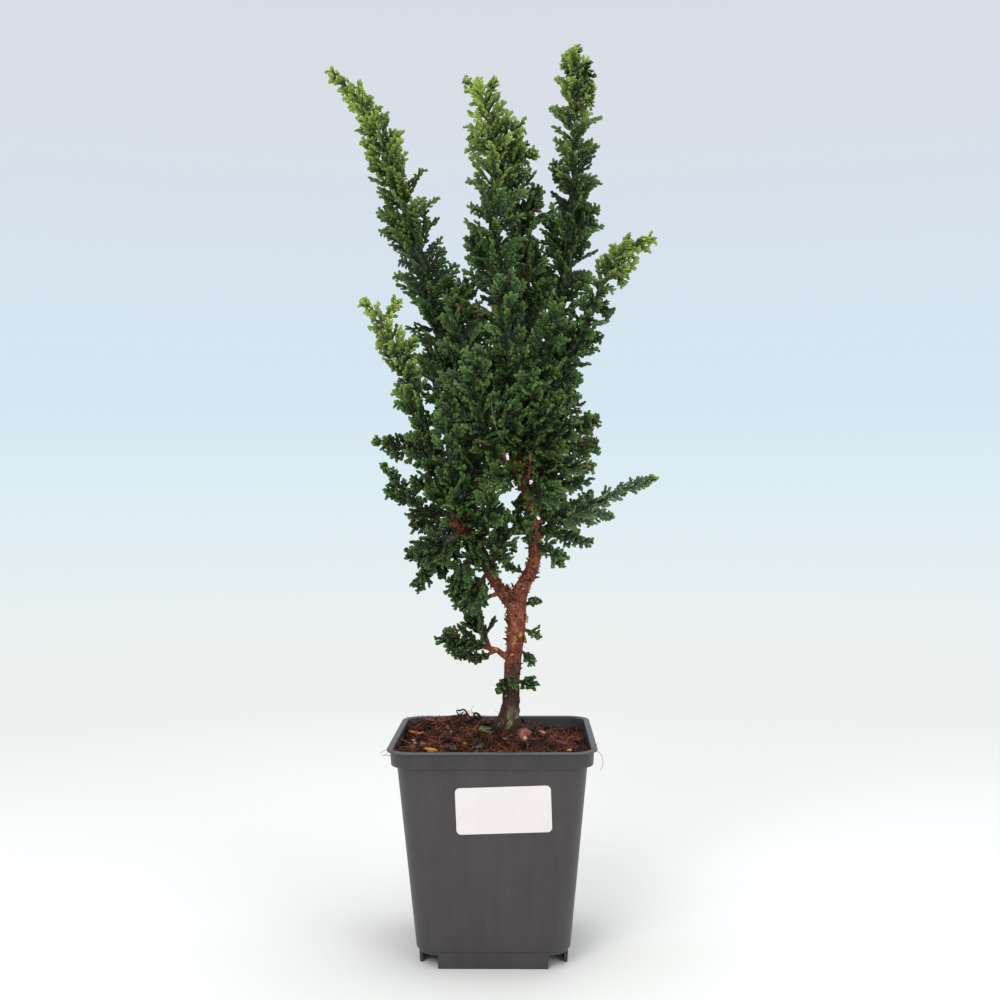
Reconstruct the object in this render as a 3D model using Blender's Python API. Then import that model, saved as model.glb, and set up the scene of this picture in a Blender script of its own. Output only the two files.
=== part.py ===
# Hinoki cypress bonsai in a square nursery pot
# Metres, +Z up. The origin is on the ground under the middle of the pot, whose label faces -Y.

import math
import random

import bmesh
import bpy
import numpy as np
from mathutils import Matrix, Vector

MM = 0.001
GAP = 0.3 * MM                  # between pieces that touch

# Pot: outer half widths, heights and wall
LIP_HALF = 45.0 * MM            # out-turned lip at the rim
BAND_HALF = 43.2 * MM           # rim band at its lower edge
BODY_TOP_HALF = 40.8 * MM       # body just under the band
BODY_FOOT_HALF = 33.4 * MM      # body just over the skirt
SKIRT_HALF = 32.5 * MM
POT_HEIGHT = 95.0 * MM
BAND_HEIGHT = 88.0 * MM         # where the band begins
LIP_THICK = 0.9 * MM
LIP_EDGE = 0.2 * MM             # rise of the lip's underside
SKIRT_HEIGHT = 7.7 * MM
FLOOR_THICK = 1.4 * MM
WALL = 1.2 * MM
SKIRT_WALL = 1.5 * MM
CORNER_RADIUS = 9.0 * MM        # of the body
BAND_CORNER_RADIUS = 10.0 * MM
LIP_CORNER_RADIUS = 10.6 * MM
CORNER_STEPS = 4
DRAFT = 0.4 * MM                # small slopes where one height of the wall meets the next
POT_CREASE = math.radians(35)   # shading is smooth below this angle
NOTCH_FROM = 23.6 * MM          # each skirt strip ends here, so the corners are open
NOTCH_HEIGHT = 6.0 * MM
DRAIN_RADIUS = 5.0 * MM
DRAIN_OFFSET = 22.5 * MM
DRAIN_CUT = 8.0 * MM
DRAIN_SIDES = 16

# Label: a plain sticker on the front wall
LABEL_SIZE = (40.5 * MM, 20.2 * MM)
LABEL_THICK = 0.4 * MM
LABEL_CORNER = 2.0 * MM
LABEL_CORNER_STEPS = 4
LABEL_X = 4.9 * MM
LABEL_Z = 69.9 * MM
LABEL_TURN = math.radians(-1.8)

# Soil: nearly level with the rim, raised round the trunk
SOIL_SEED = 11
SOIL_RIM = 91.8 * MM
SOIL_FRONT_RISE = 2.2 * MM      # at the front wall, above the back
SOIL_WALL_DROP = 1.2 * MM
SOIL_MOUND = 5.6 * MM
SOIL_MOUND_FALL = 2.1           # higher falls away nearer the trunk
SOIL_LUMP = 1.1 * MM
SOIL_LUMP_SHARE = (0.35, 3.0)   # at the wall, and how fast it grows inwards
SOIL_RINGS = 7
SOIL_SIDE_POINTS = 3
TRUNK_HOLE = 6.9 * MM
TRUNK_HOLE_FLOOR = 83.5 * MM
TRUNK_FOOT = (7.0, 2.0)         # millimetres from the pot's middle

# Wood, millimetres: x, y, z and radius of points along each branch
WOOD = {
    "trunk": [
        (7, 2, 84, 5.6), (7, 2, 97, 6.2), (7.2, 2, 102, 5.0), (7.6, 2, 110, 4.0),
        (8.1, 2, 119, 3.8), (8.8, 2, 128, 3.9), (10, 1, 137, 4.0), (10.5, 0, 146, 4.4),
        (10.5, 0, 152, 4.6),
    ],
    "right": [
        (10.5, 0, 150, 3.9), (12.6, 0, 160, 3.6), (16.4, 0, 167, 3.1), (18.6, 0, 174, 2.9),
        (18.6, 0, 181, 2.8), (17.3, 0, 190, 2.8), (17, 0, 196, 2.9), (15.5, 0, 205, 2.8),
        (12, 1, 211, 2.8), (10, 2, 221, 2.5), (9, 3, 233, 2.1), (9, 2, 244, 1.7),
    ],
    "left": [
        (10, 0, 152, 3.6), (5.3, -1, 157.5, 3.0), (1.8, -2, 162.5, 2.6), (-1.4, -3, 169, 2.4),
        (-4, -4, 176, 2.3), (-9, -5, 183, 2.2), (-15, -6, 189, 2.0), (-19, -4, 199, 1.8),
        (-18, 0, 212, 1.5),
    ],
    "low": [
        (8, 1, 129, 1.7), (4.3, 0, 130.5, 1.5), (1.6, -1, 133, 1.3), (-2, -2, 133.8, 1.1),
    ],
}

# Leafy stems, millimetres. Each path starts inside the wood that it grows from. It is bare wood
# for the first length and then leafy, with its reach, axis to leaf tips, at even steps.
STEMS = {
    "leader_left": (8, (9, 11, 12.5, 13, 12, 8, 2.3), [
        (-18, 0, 212), (-16, 4, 232), (-24, 8, 276), (-36, 10, 322), (-50, 11, 364),
        (-64, 9, 391), (-74, 7, 398)]),
    "leader_middle": (9, (10, 12, 13, 14, 14, 12, 2.2), [
        (9, 2, 244), (6, -7, 262), (3, -10, 292), (1, -11, 328), (2, -11, 362),
        (-2, -10, 380), (-11, -8, 389)]),
    "middle_back": (9, (12, 13, 12, 9, 3.5), [
        (9, 2, 244), (13, 7, 264), (13, 6, 292), (12, 4, 334), (11, 2, 364)]),
    "leader_right": (10, (10, 12, 12.5, 13, 12, 11, 8), [
        (15.5, 0, 205), (17, 12, 228), (23, 15, 255), (32, 16, 293), (37, 16, 330),
        (39, 15, 365), (38, 13, 405)]),
    "arm_right": (12, (8, 11, 11, 8, 5.5, 6.5, 2.3), [
        (10, 2, 222), (20, -8, 237), (30, -14, 258), (44, -18, 285), (55, -20, 307),
        (61, -21, 312), (69, -22, 314)]),
    "leader_low_left": (9, (9, 11, 10, 7.5, 6.5, 5.5, 2.2), [
        (-15, -6, 189), (-23, -14, 209), (-30, -19, 236), (-40, -23, 263), (-47, -26, 281),
        (-55, -27, 287)]),
    "left_inner": (9, (9, 11, 10, 8, 4), [
        (-19, -4, 199), (-8, -11, 214), (-9, -14, 238), (-12, -13, 268), (-15, -10, 288)]),
    "left_front": (9, (8, 9.5, 8, 4), [
        (-9, -5, 183), (-13, -20, 199), (-18, -29, 220), (-18, -33, 247)]),
    "side_left": (7, (8, 9, 6, 2.6), [
        (-18, 0, 212), (-31, 0, 223), (-41, 0, 226), (-53, 0, 228)]),
    "side_left_low": (7, (7, 7, 6, 4.6, 2.3), [
        (-15, -6, 189), (-26, -8, 191), (-36, -10, 200), (-43, -11, 209), (-48, -12, 216)]),
    "skirt_outer": (7, (9, 11, 7), [(-9, -5, 183), (-20, -2, 185), (-28, -2, 181), (-36, -2, 176)]),
    "skirt_left": (7, (8, 11, 6), [(-9, -5, 183), (-19, -12, 180), (-26, -14, 172), (-33, -15, 164)]),
    "skirt_front": (7, (9, 12, 7), [(-4, -4, 176), (-11, -14, 177), (-14, -18, 169), (-16, -20, 162)]),
    "skirt_right": (6, (8, 10, 6), [(-1.4, -3, 169), (-4, -9, 167), (-7, -13, 163), (-10, -15, 157)]),
    "skirt_under": (6, (3.5, 5, 3.2), [(4, -1.3, 159), (-1, -5, 158), (-7, -7, 155), (-13, -8, 154)]),
    "limb_front": (7, (9, 12, 8), [(-4, -4, 176), (-6, -13, 182), (-2, -18, 192), (0, -20, 201)]),
    "skirt_heart": (8, (9, 12, 8), [(-9, -5, 183), (-13, -17, 187), (-20, -22, 183), (-26, -24, 178)]),
    "limb_inner": (7, (9, 12, 8), [(-1.4, -3, 169), (-1, -12, 174), (1, -15, 183), (2, -16, 192)]),
    "limb_right": (5, (5, 7.5, 5), [(-1.4, -3, 169), (0, 3, 176), (3, 5, 181), (6, 5, 185)]),
    "limb_back": (9, (8, 9, 5), [(-9, -5, 183), (-11, 8, 187), (-20, 18, 192), (-29, 23, 197)]),
    "limb_side": (6, (8, 10, 6), [(-19, -4, 199), (-26, 2, 204), (-36, 4, 209)]),
    "low_spray": (3, (6, 11, 10, 5), [(-2, -2, 133.8), (-10, -6, 137), (-22, -8, 138)]),
    "low_spray_up": (5, (8, 10, 6), [(-2, -2, 133.8), (-4, -5, 139), (-9, -6, 147)]),
    "low_spray_down": (5, (6, 9, 6), [(1.6, -1, 133), (-3, -6, 131), (-10, -9, 131), (-17, -11, 134)]),
    "right_front": (9, (8, 10, 9, 4.5), [(12, 1, 211), (20, -15, 222), (30, -25, 232), (44, -31, 234)]),
    "right_middle": (9, (7, 8.5, 6.5, 3.5), [(12, 1, 211), (23, -13, 216), (34, -19, 217), (43, -23, 215)]),
    "right_top": (12, (8, 9.5, 5), [(10, 2, 221), (18, -20, 232), (26, -30, 241), (35, -35, 245)]),
    "right_low": (8, (6, 6.5, 3.5), [(15.5, 0, 205), (25, -8, 208), (34, -12, 208), (41, -14, 209)]),
    "right_back": (10, (8, 9, 4.5), [(10, 2, 221), (24, 9, 224), (37, 12, 226), (46, 14, 226)]),
    "heart_left": (8, (8, 10, 7), [(12, 1, 211), (9, -13, 213), (2, -20, 211)]),
    "heart_right": (8, (8, 10, 6), [(15.5, 0, 205), (20, -14, 206), (26, -20, 203)]),
    "heart_up": (9, (7, 10, 6), [(10, 2, 221), (8, -13, 227), (8, -25, 234), (6, -33, 243)]),
    "heart_high": (10, (7, 10, 6), [(9, 3, 233), (16, -14, 236), (18, -28, 242), (17, -36, 251)]),
    "spur_right": (6, (6, 9, 8, 6, 4.2, 3.8, 2.4), [
        (17.3, 0, 190), (25, -2, 192), (33, -5, 194), (42, -8, 198), (60, -11, 206),
        (72, -11, 210)]),
    "spur_low": (6, (6, 7, 4), [(17.3, 0, 190), (25, 6, 187), (34, 6, 185), (43, 6, 181)]),
    "spur_down": (5, (6, 8, 5), [(18.6, 0, 181), (25, -6, 180), (31, -8, 174)]),
    "spur_back": (8, (7, 8, 4.5), [(17, 0, 196), (27, 9, 196), (41, 12, 195), (53, 14, 193)]),
    "fork_shoot": (4, (2.5, 4, 2.5), [(16.4, 0, 167), (11, -2, 167), (6, -2, 172)]),
    "shoot_top": (5.2, (4, 4.5, 3), [(10.5, 0, 152), (16, -1, 154), (20, -1, 155)]),
    "shoot_upper": (4.8, (4.5, 5, 3), [(10.2, 0, 143), (15.5, -1, 143), (20, -3, 140)]),
    "shoot_middle": (4.8, (3.5, 4.5, 3), [(9.5, 1, 134), (14, -1, 133), (17.5, -3, 128)]),
    "shoot_low": (4.8, (4.5, 6, 4), [(8, 2, 119), (13, -2, 119), (18, -4, 118)]),
    "shoot_left": (5.2, (4, 5, 4), [(8, 2, 122), (4, -3, 121), (2, -5, 115)]),
    "rear_left": (12, (10, 12, 11, 5), [
        (10, 2, 221), (4, 17, 227), (-2, 24, 246), (-8, 30, 272), (-10, 32, 294)]),
    "rear_middle": (11, (11, 12, 12, 6), [
        (9, 3, 233), (12, 17, 242), (14, 27, 262), (18, 32, 287), (20, 33, 310)]),
    "rear_right": (10, (10, 12, 11, 5), [
        (15.5, 0, 205), (22, 14, 213), (30, 24, 234), (34, 31, 257), (35, 33, 279)]),
    "rear_limb": (9, (9, 11, 10, 5), [
        (-18, 0, 212), (-17, 14, 222), (-22, 21, 238), (-28, 25, 256), (-31, 27, 272)]),
    "rear_low_left": (11, (7, 10, 6), [(-19, -4, 199), (-9, 15, 204), (-9, 27, 212), (-14, 37, 224)]),
    "rear_low_right": (10, (7, 9, 5), [(17, 0, 196), (19, 12, 198), (23, 22, 201), (30, 34, 207)]),
    "rear_outer": (14, (9, 11, 6), [(10, 2, 221), (8, 22, 226), (6, 35, 245), (3, 41, 271)]),
    "front_left": (12, (8, 11, 10, 5), [
        (11, 1.5, 216), (3, -15, 219), (-4, -28, 232), (-6, -35, 248), (-6, -38, 263)]),
    "front_middle": (11, (8, 11, 11, 10, 5), [
        (9, 3, 233), (9, -14, 239), (9, -26, 254), (8, -32, 275), (7, -33, 294)]),
    "front_right": (13, (8, 10, 9, 4.5), [
        (9, 3, 239), (18, -14, 250), (23, -24, 262), (27, -27, 275), (29, -27, 287)]),
}

# Wood and paths, millimetres
PATH_STEP = 4.0                 # between the points of a settled path
PATH_STEPS_FITTED = 24          # curve samples from one given point to the next
BRANCH_STEP = 8.0               # between the rings of the trunk and branches
THICK_BRANCHES = ("trunk", "right")
THICK_SIDES = 2                 # bevel resolution: 0 is four-sided, 1 six, 2 eight
BARK_SEED = 5
BARK_DEPTH = 0.2 * MM
TRUNK_BARK_DEPTH = 0.35 * MM
TWIG_STEP = 7.0
TWIG_RADIUS = (1.3, 0.9)        # at the branch and where the leaves begin
SHOOT_TWIG = 0.7                # shoots straight off the trunk have thinner twigs
CUT_MARGIN = 0.8                # path points nearer than this to a cut are dropped
SETTLE_ROUNDS = 80
LEAF_ALLOWANCE = 1.0            # room for leaves that stems keep from each other
STEM_PUSH = 0.22                # share of an overlap undone in each round
WOOD_PUSH = 0.4
LARGEST_MOVE = 1.2
PULL_BACK = 0.06
EVENING = 0.3

# Foliage, millimetres
CORE_SHARE = 0.33               # of the reach is core, the rest stands out as leaves
CORE_LIMITS = (0.9, 4.4)
CORE_THINNEST = 0.6             # where a neighbour is close
CORE_ENDS = (0.45, 0.7)         # the core is thinner by these at its foot and tip
RING_STEP = (4.5, 9.0)          # least and most between the core's rings
RING_SHARE = 2.1                # of the core's radius there
RINGS_AT_LEAST = 3
SIX_SIDED_FROM = 3.7            # cores thicker than this have six sides, and thinner ones four
FULL_LEAVES_FROM = 2.2          # where the core is thinner, some faces stay bare
ALWAYS_LEAFY = 0.5              # added to the core's radius when that is decided
CLEARANCE = 0.35                # between leaves of neighbouring stems
BARK_CLEARANCE = 0.3            # more than that beside the wood, whose bark is rough
LEAF_TIP_RADIUS = (0.75, 1.5)
LEAF_TIP_SHARE = 0.45           # of the radius where the leaf begins
LEAF_SHORTEST = 1.4
LEAF_LONGEST = 11.5
LEAF_LENGTHS = (0.62, 0.82, 0.94, 1.04, 1.12)
LEAF_SAMPLES = 4                # places along a leaf where its room is measured
LEAF_SHORTENING = 0.85          # each time a leaf has no room
LEAF_LEAN = (48, 92)            # degrees from the stem's direction
LEAN_LOST_AT_TIP = 20
LEAN_LOST_FROM = 0.7            # share of the stem
LEAN_COUNTED = 0.7              # least lean, in radians, that a reach is worked out for
FIRST_LEAF_LEAN = 62            # at most, so these leaves stay off the twig behind them
END_LEAF_LEAN = 25
END_LEAF_SHORTEST = 2.2
END_LEAF_SHARE = 0.9
AIM_SCATTER = 0.2
WOOD_OWNER = -1                 # the stems are numbered from 0

COLOURS = {
    "pot": ((0.065, 0.062, 0.068, 1), 0.55),
    "label": ((0.86, 0.84, 0.82, 1), 0.6),
    "soil": ((0.06, 0.028, 0.018, 1), 0.95),
    "wood": ((0.20, 0.068, 0.032, 1), 0.85),
    "foliage": ((0.035, 0.11, 0.022, 1), 0.6),
}


def clear_scene():
    for ob in list(bpy.data.objects):
        bpy.data.objects.remove(ob, do_unlink=True)


def make_material(name):
    colour, roughness = COLOURS[name]
    material = bpy.data.materials.new(name)
    material.use_nodes = True
    shader = material.node_tree.nodes["Principled BSDF"]
    shader.inputs["Base Color"].default_value = colour
    shader.inputs["Roughness"].default_value = roughness
    shader.inputs["Metallic"].default_value = 0.0
    return material


def add_object(name, mesh, material, collection):
    ob = bpy.data.objects.new(name, mesh)
    if material:
        mesh.materials.clear()
        mesh.materials.append(material)
    collection.objects.link(ob)
    return ob


# Rounded squares and lofts for the pot and the soil

def rounded_square(half, corner, z, side_points=0):
    corners = []
    for quarter in range(4):
        middle = (quarter + 0.5) * math.pi / 2
        centre = Vector((math.cos(middle), math.sin(middle))) * (half - corner) * math.sqrt(2)
        arc = []
        for step in range(CORNER_STEPS + 1):
            angle = (quarter + step / CORNER_STEPS) * math.pi / 2
            arc.append(Vector((centre.x + corner * math.cos(angle),
                               centre.y + corner * math.sin(angle), z)))
        corners.append(arc)
    points = []
    for arc, following in zip(corners, corners[1:] + corners[:1]):
        points += arc
        for k in range(side_points):
            points.append(arc[-1].lerp(following[0], (k + 1) / (side_points + 1)))
    return points


def loft(rings):
    bm = bmesh.new()
    loops = [[bm.verts.new(p) for p in ring] for ring in rings]
    count = len(rings[0])
    for lower, upper in zip(loops, loops[1:]):
        for i in range(count):
            j = (i + 1) % count
            bm.faces.new((lower[i], lower[j], upper[j], upper[i]))
    bm.faces.new(reversed(loops[0]))
    bm.faces.new(loops[-1])
    return bm


def body_half(z):
    share = (z - SKIRT_HEIGHT) / (BAND_HEIGHT - SKIRT_HEIGHT)
    return BODY_FOOT_HALF + (BODY_TOP_HALF - BODY_FOOT_HALF) * share


def box_cutter(name, low, high, collection):
    bpy.ops.mesh.primitive_cube_add(size=1)
    ob = bpy.context.object
    ob.name = name
    ob.location = (Vector(low) + Vector(high)) / 2
    ob.scale = Vector(high) - Vector(low)
    return as_cutter(ob, collection)


def as_cutter(ob, collection):
    for owner in list(ob.users_collection):
        owner.objects.unlink(ob)
    collection.objects.link(ob)
    ob.hide_render = True
    ob.display_type = "WIRE"
    return ob


def make_pot(collection, cutters, material):
    floor_under = SKIRT_HEIGHT - FLOOR_THICK
    inner_corner = CORNER_RADIUS - WALL
    rings = [
        rounded_square(SKIRT_HALF - SKIRT_WALL, inner_corner, floor_under),
        rounded_square(SKIRT_HALF - SKIRT_WALL - DRAFT, inner_corner, 0),
        rounded_square(SKIRT_HALF - DRAFT, CORNER_RADIUS, 0),
        rounded_square(SKIRT_HALF, CORNER_RADIUS, SKIRT_HEIGHT - DRAFT),
        rounded_square(BODY_FOOT_HALF, CORNER_RADIUS, SKIRT_HEIGHT),
        rounded_square(BODY_TOP_HALF, CORNER_RADIUS, BAND_HEIGHT - DRAFT),
        rounded_square(BAND_HALF, BAND_CORNER_RADIUS, BAND_HEIGHT),
        rounded_square(BAND_HALF + DRAFT, BAND_CORNER_RADIUS, POT_HEIGHT - LIP_THICK),
        rounded_square(LIP_HALF, LIP_CORNER_RADIUS, POT_HEIGHT - LIP_THICK + LIP_EDGE),
        rounded_square(LIP_HALF, LIP_CORNER_RADIUS, POT_HEIGHT),
        rounded_square(BAND_HALF - WALL + DRAFT, CORNER_RADIUS, POT_HEIGHT),
        rounded_square(BAND_HALF - WALL, CORNER_RADIUS, BAND_HEIGHT + WALL),
        rounded_square(BODY_TOP_HALF - WALL, inner_corner, BAND_HEIGHT + DRAFT),
        rounded_square(BODY_FOOT_HALF - WALL, inner_corner, SKIRT_HEIGHT),
    ]
    bm = loft(rings)
    mesh = bpy.data.meshes.new("pot")
    bm.to_mesh(mesh)
    bm.free()
    pot = add_object("pot", mesh, material, collection)
    reach = 2 * LIP_HALF
    for side_x in (-1, 1):
        for side_y in (-1, 1):
            near = Vector((side_x * NOTCH_FROM, side_y * NOTCH_FROM, -reach))
            far = Vector((side_x * reach, side_y * reach, NOTCH_HEIGHT))
            low = [min(a, b) for a, b in zip(near, far)]
            high = [max(a, b) for a, b in zip(near, far)]
            cut(pot, box_cutter("notch_cutter", low, high, cutters))
            bpy.ops.mesh.primitive_cylinder_add(
                vertices=DRAIN_SIDES, radius=DRAIN_RADIUS, depth=DRAIN_CUT)
            drain = bpy.context.object
            drain.name = "drain_cutter"
            drain.location = (side_x * DRAIN_OFFSET, side_y * DRAIN_OFFSET, SKIRT_HEIGHT)
            cut(pot, as_cutter(drain, cutters))
    mesh.shade_smooth()
    mesh.set_sharp_from_angle(angle=POT_CREASE)
    return pot


def cut(ob, cutter):
    modifier = ob.modifiers.new(cutter.name, "BOOLEAN")
    modifier.operation = "DIFFERENCE"
    modifier.object = cutter


# The sticker stands on the sloping front wall

def make_label(collection, material):
    width, height = LABEL_SIZE
    bpy.ops.mesh.primitive_cube_add(size=1)
    label = bpy.context.object
    label.name = "label"
    mesh = label.data
    mesh.transform(Matrix.Diagonal((width, LABEL_THICK, height, 1)))
    bm = bmesh.new()
    bm.from_mesh(mesh)
    upright = [e for e in bm.edges if abs(e.verts[0].co.y - e.verts[1].co.y) > LABEL_THICK / 2]
    bmesh.ops.bevel(bm, geom=upright, offset=LABEL_CORNER, segments=LABEL_CORNER_STEPS,
                    affect="EDGES", profile=0.5)
    bm.to_mesh(mesh)
    bm.free()
    mesh.materials.append(material)
    for owner in list(label.users_collection):
        owner.objects.unlink(label)
    collection.objects.link(label)
    slope = math.atan2(BODY_TOP_HALF - BODY_FOOT_HALF, BAND_HEIGHT - SKIRT_HEIGHT)
    stand_off = (GAP + LABEL_THICK / 2) / math.cos(slope)
    label.location = (LABEL_X, -body_half(LABEL_Z) - stand_off, LABEL_Z)
    label.rotation_euler = (slope, LABEL_TURN, 0)
    return label


# Soil fills the pot up to its own uneven top, with a plain hole for the trunk

def make_soil(collection, material):
    rng = random.Random(SOIL_SEED)
    foot = Vector((TRUNK_FOOT[0] * MM, TRUNK_FOOT[1] * MM))
    inner_corner = CORNER_RADIUS - WALL
    lower = [
        rounded_square(half - WALL - GAP, corner, z, SOIL_SIDE_POINTS)
        for half, corner, z in (
            (BODY_FOOT_HALF, inner_corner, SKIRT_HEIGHT + GAP),
            (BODY_TOP_HALF, inner_corner, BAND_HEIGHT + DRAFT),
            (BAND_HALF, CORNER_RADIUS, BAND_HEIGHT + WALL + GAP))
    ]
    edge = rounded_square(BAND_HALF - WALL - GAP, CORNER_RADIUS, 0, SOIL_SIDE_POINTS)
    count = len(edge)
    hole = []
    for p in edge:
        angle = math.atan2(p.y - foot.y, p.x - foot.x)
        hole.append(foot + Vector((math.cos(angle), math.sin(angle))) * TRUNK_HOLE)
    top = []
    for k in range(SOIL_RINGS + 1):
        share = 1 - k / SOIL_RINGS
        ring = []
        for i in range(count):
            flat = hole[i].lerp(edge[i].to_2d(), share)
            front = max(0.0, -edge[i].y / BAND_HALF)
            rim = SOIL_RIM + (SOIL_FRONT_RISE * front - SOIL_WALL_DROP) * share
            lump_share = SOIL_LUMP_SHARE[0] + SOIL_LUMP_SHARE[1] * k / SOIL_RINGS
            lump = rng.uniform(-1, 1) * SOIL_LUMP * min(1.0, lump_share)
            height = rim + SOIL_MOUND * math.exp(-(share * SOIL_MOUND_FALL) ** 2) + lump
            ring.append(Vector((flat.x, flat.y, height)))
        top.append(ring)
    shaft = [Vector((p.x, p.y, TRUNK_HOLE_FLOOR)) for p in hole]
    bm = loft(lower + top + [shaft])
    bmesh.ops.triangulate(bm, faces=bm.faces[:])
    mesh = bpy.data.meshes.new("soil")
    bm.to_mesh(mesh)
    bm.free()
    return add_object("soil", mesh, material, collection)


# Paths of wood and stems

def smooth_path(points, step):
    """Points at even steps along a smooth curve through the given points, any width of row."""
    rows = [np.array(p, float) for p in points]
    rows = [2 * rows[0] - rows[1]] + rows + [2 * rows[-1] - rows[-2]]
    fine = []
    for a, b, c, d in zip(rows, rows[1:], rows[2:], rows[3:]):
        for t in np.linspace(0, 1, PATH_STEPS_FITTED, endpoint=False):
            fine.append(0.5 * (2 * b + (c - a) * t + (2 * a - 5 * b + 4 * c - d) * t ** 2
                               + (3 * b - a - 3 * c + d) * t ** 3))
    fine.append(rows[-2])
    return even_steps(np.array(fine), step)


def lengths_along(path):
    steps = np.linalg.norm(np.diff(path[:, :3], axis=0), axis=1)
    return np.concatenate([[0], np.cumsum(steps)])


def even_steps(path, step):
    along = lengths_along(path)
    count = max(2, round(along[-1] / step) + 1)
    stations = np.linspace(0, along[-1], count)
    return np.column_stack([np.interp(stations, along, column) for column in path.T])


def core_radius(reach):
    return float(np.clip(reach * CORE_SHARE, *CORE_LIMITS))


def reach_at(reaches, share):
    return float(np.interp(share, np.linspace(0, 1, len(reaches)), reaches))


def settle_paths():
    """Bends the stems clear of the wood and of each other, keeping their roots in place."""
    wood = np.vstack([smooth_path(points, PATH_STEP) for points in WOOD.values()])
    paths = {name: smooth_path(points, PATH_STEP) for name, (_, _, points) in STEMS.items()}
    start = {name: path.copy() for name, path in paths.items()}
    names = list(paths)
    radii = {}
    for name in names:
        bare, reaches, _ = STEMS[name]
        along = lengths_along(paths[name])
        share = np.clip((along - bare) / (along[-1] - bare), 0, 1)
        leafy = np.array([core_radius(reach_at(reaches, s)) + LEAF_ALLOWANCE for s in share])
        radii[name] = np.where(along < bare, TWIG_RADIUS[0], leafy)
    owner = np.concatenate([np.full(len(paths[n]), i) for i, n in enumerate(names)])
    bare_point = np.concatenate([radii[n] <= TWIG_RADIUS[0] for n in names])
    radius = np.concatenate([radii[n] for n in names])
    for _ in range(SETTLE_ROUNDS):
        crowd = np.vstack([paths[n] for n in names])
        away = crowd[:, None, :] - crowd[None, :, :]
        distance = np.linalg.norm(away, axis=2) + 1e-6
        need = radius[:, None] + radius[None, :] + 2 * CLEARANCE
        close = (distance < need) & (owner[:, None] != owner[None, :])
        close &= ~(bare_point[:, None] & bare_point[None, :])
        weight = np.where(close, (need - distance) / distance, 0)
        push = STEM_PUSH * (away * weight[:, :, None]).sum(axis=1)
        away = crowd[:, None, :] - wood[None, :, :3]
        distance = np.linalg.norm(away, axis=2) + 1e-6
        need = radius[:, None] + wood[None, :, 3] + 2 * CLEARANCE
        weight = np.where((distance < need) & ~bare_point[:, None], (need - distance) / distance, 0)
        push += WOOD_PUSH * (away * weight[:, :, None]).sum(axis=1)
        push_length = np.linalg.norm(push, axis=1, keepdims=True)
        push *= np.minimum(1, LARGEST_MOVE / (push_length + 1e-9))
        first = 0
        for n in names:
            path = paths[n]
            last = first + len(path)
            move = push[first:last]
            move += PULL_BACK * (start[n] - path)
            move[1:-1] += EVENING * ((path[:-2] + path[2:]) / 2 - path[1:-1])
            move[0] = 0
            path += move
            first = last
    return paths


# Tubes: wood, and the cores of the leafy stems

def tube(name, points, radii, resolution, turn=0.0):
    """A closed tube in metres through points in millimetres, as a mesh object in no collection."""
    curve = bpy.data.curves.new(name, "CURVE")
    curve.dimensions = "3D"
    curve.bevel_depth = MM
    curve.bevel_resolution = resolution
    curve.use_fill_caps = False
    spline = curve.splines.new("POLY")
    spline.points.add(len(points) - 1)
    for i, (point, place, radius) in enumerate(zip(spline.points, points, radii)):
        point.co = (place[0] * MM, place[1] * MM, place[2] * MM, 1)
        point.radius = radius
        point.tilt = i * turn
    holder = bpy.data.objects.new(name, curve)
    bpy.context.scene.collection.objects.link(holder)
    depsgraph = bpy.context.evaluated_depsgraph_get()
    mesh = bpy.data.meshes.new_from_object(holder.evaluated_get(depsgraph))
    bpy.data.objects.remove(holder, do_unlink=True)
    bpy.data.curves.remove(curve)
    bm = bmesh.new()
    bm.from_mesh(mesh)
    bmesh.ops.holes_fill(bm, edges=[e for e in bm.edges if e.is_boundary])
    bmesh.ops.recalc_face_normals(bm, faces=bm.faces[:])
    bm.to_mesh(mesh)
    bm.free()
    mesh.name = name
    return mesh


def rough_bark(mesh, depth, rng):
    for vertex in mesh.vertices:
        vertex.co += vertex.normal * rng.uniform(-depth, depth)


def make_wood(paths, collection, material):
    """Trunk, branches and the bare foot of every leafy stem, fused into one piece of wood."""
    rng = random.Random(BARK_SEED)
    pieces = bpy.data.collections.new("wood_pieces")
    bpy.context.scene.collection.children.link(pieces)
    wood = None
    for name, points in WOOD.items():
        path = smooth_path(points, BRANCH_STEP if name != "low" else PATH_STEP)
        resolution = THICK_SIDES if name in THICK_BRANCHES else 1
        mesh = tube(name, path[:, :3], path[:, 3], resolution)
        rough_bark(mesh, TRUNK_BARK_DEPTH if name == "trunk" else BARK_DEPTH, rng)
        if wood is None:
            wood = add_object("wood", mesh, material, collection)
        else:
            add_object(name, mesh, material, pieces)
    for name, (bare, _, _) in STEMS.items():
        twig = even_steps(cut_path(paths[name], 0, bare), TWIG_STEP)
        radii = np.linspace(TWIG_RADIUS[0], TWIG_RADIUS[1], len(twig))
        if "shoot" in name:
            radii *= SHOOT_TWIG
        add_object(name + "_twig", tube(name, twig, radii, 0), material, pieces)
    fuse(wood, pieces)
    return wood


def cut_path(path, start, end):
    along = lengths_along(path)
    end = min(end, along[-1])
    inside = (along > start + CUT_MARGIN) & (along < end - CUT_MARGIN)
    stations = np.concatenate([[start], along[inside], [end]])
    return np.column_stack([np.interp(stations, along, column) for column in path.T])


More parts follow.
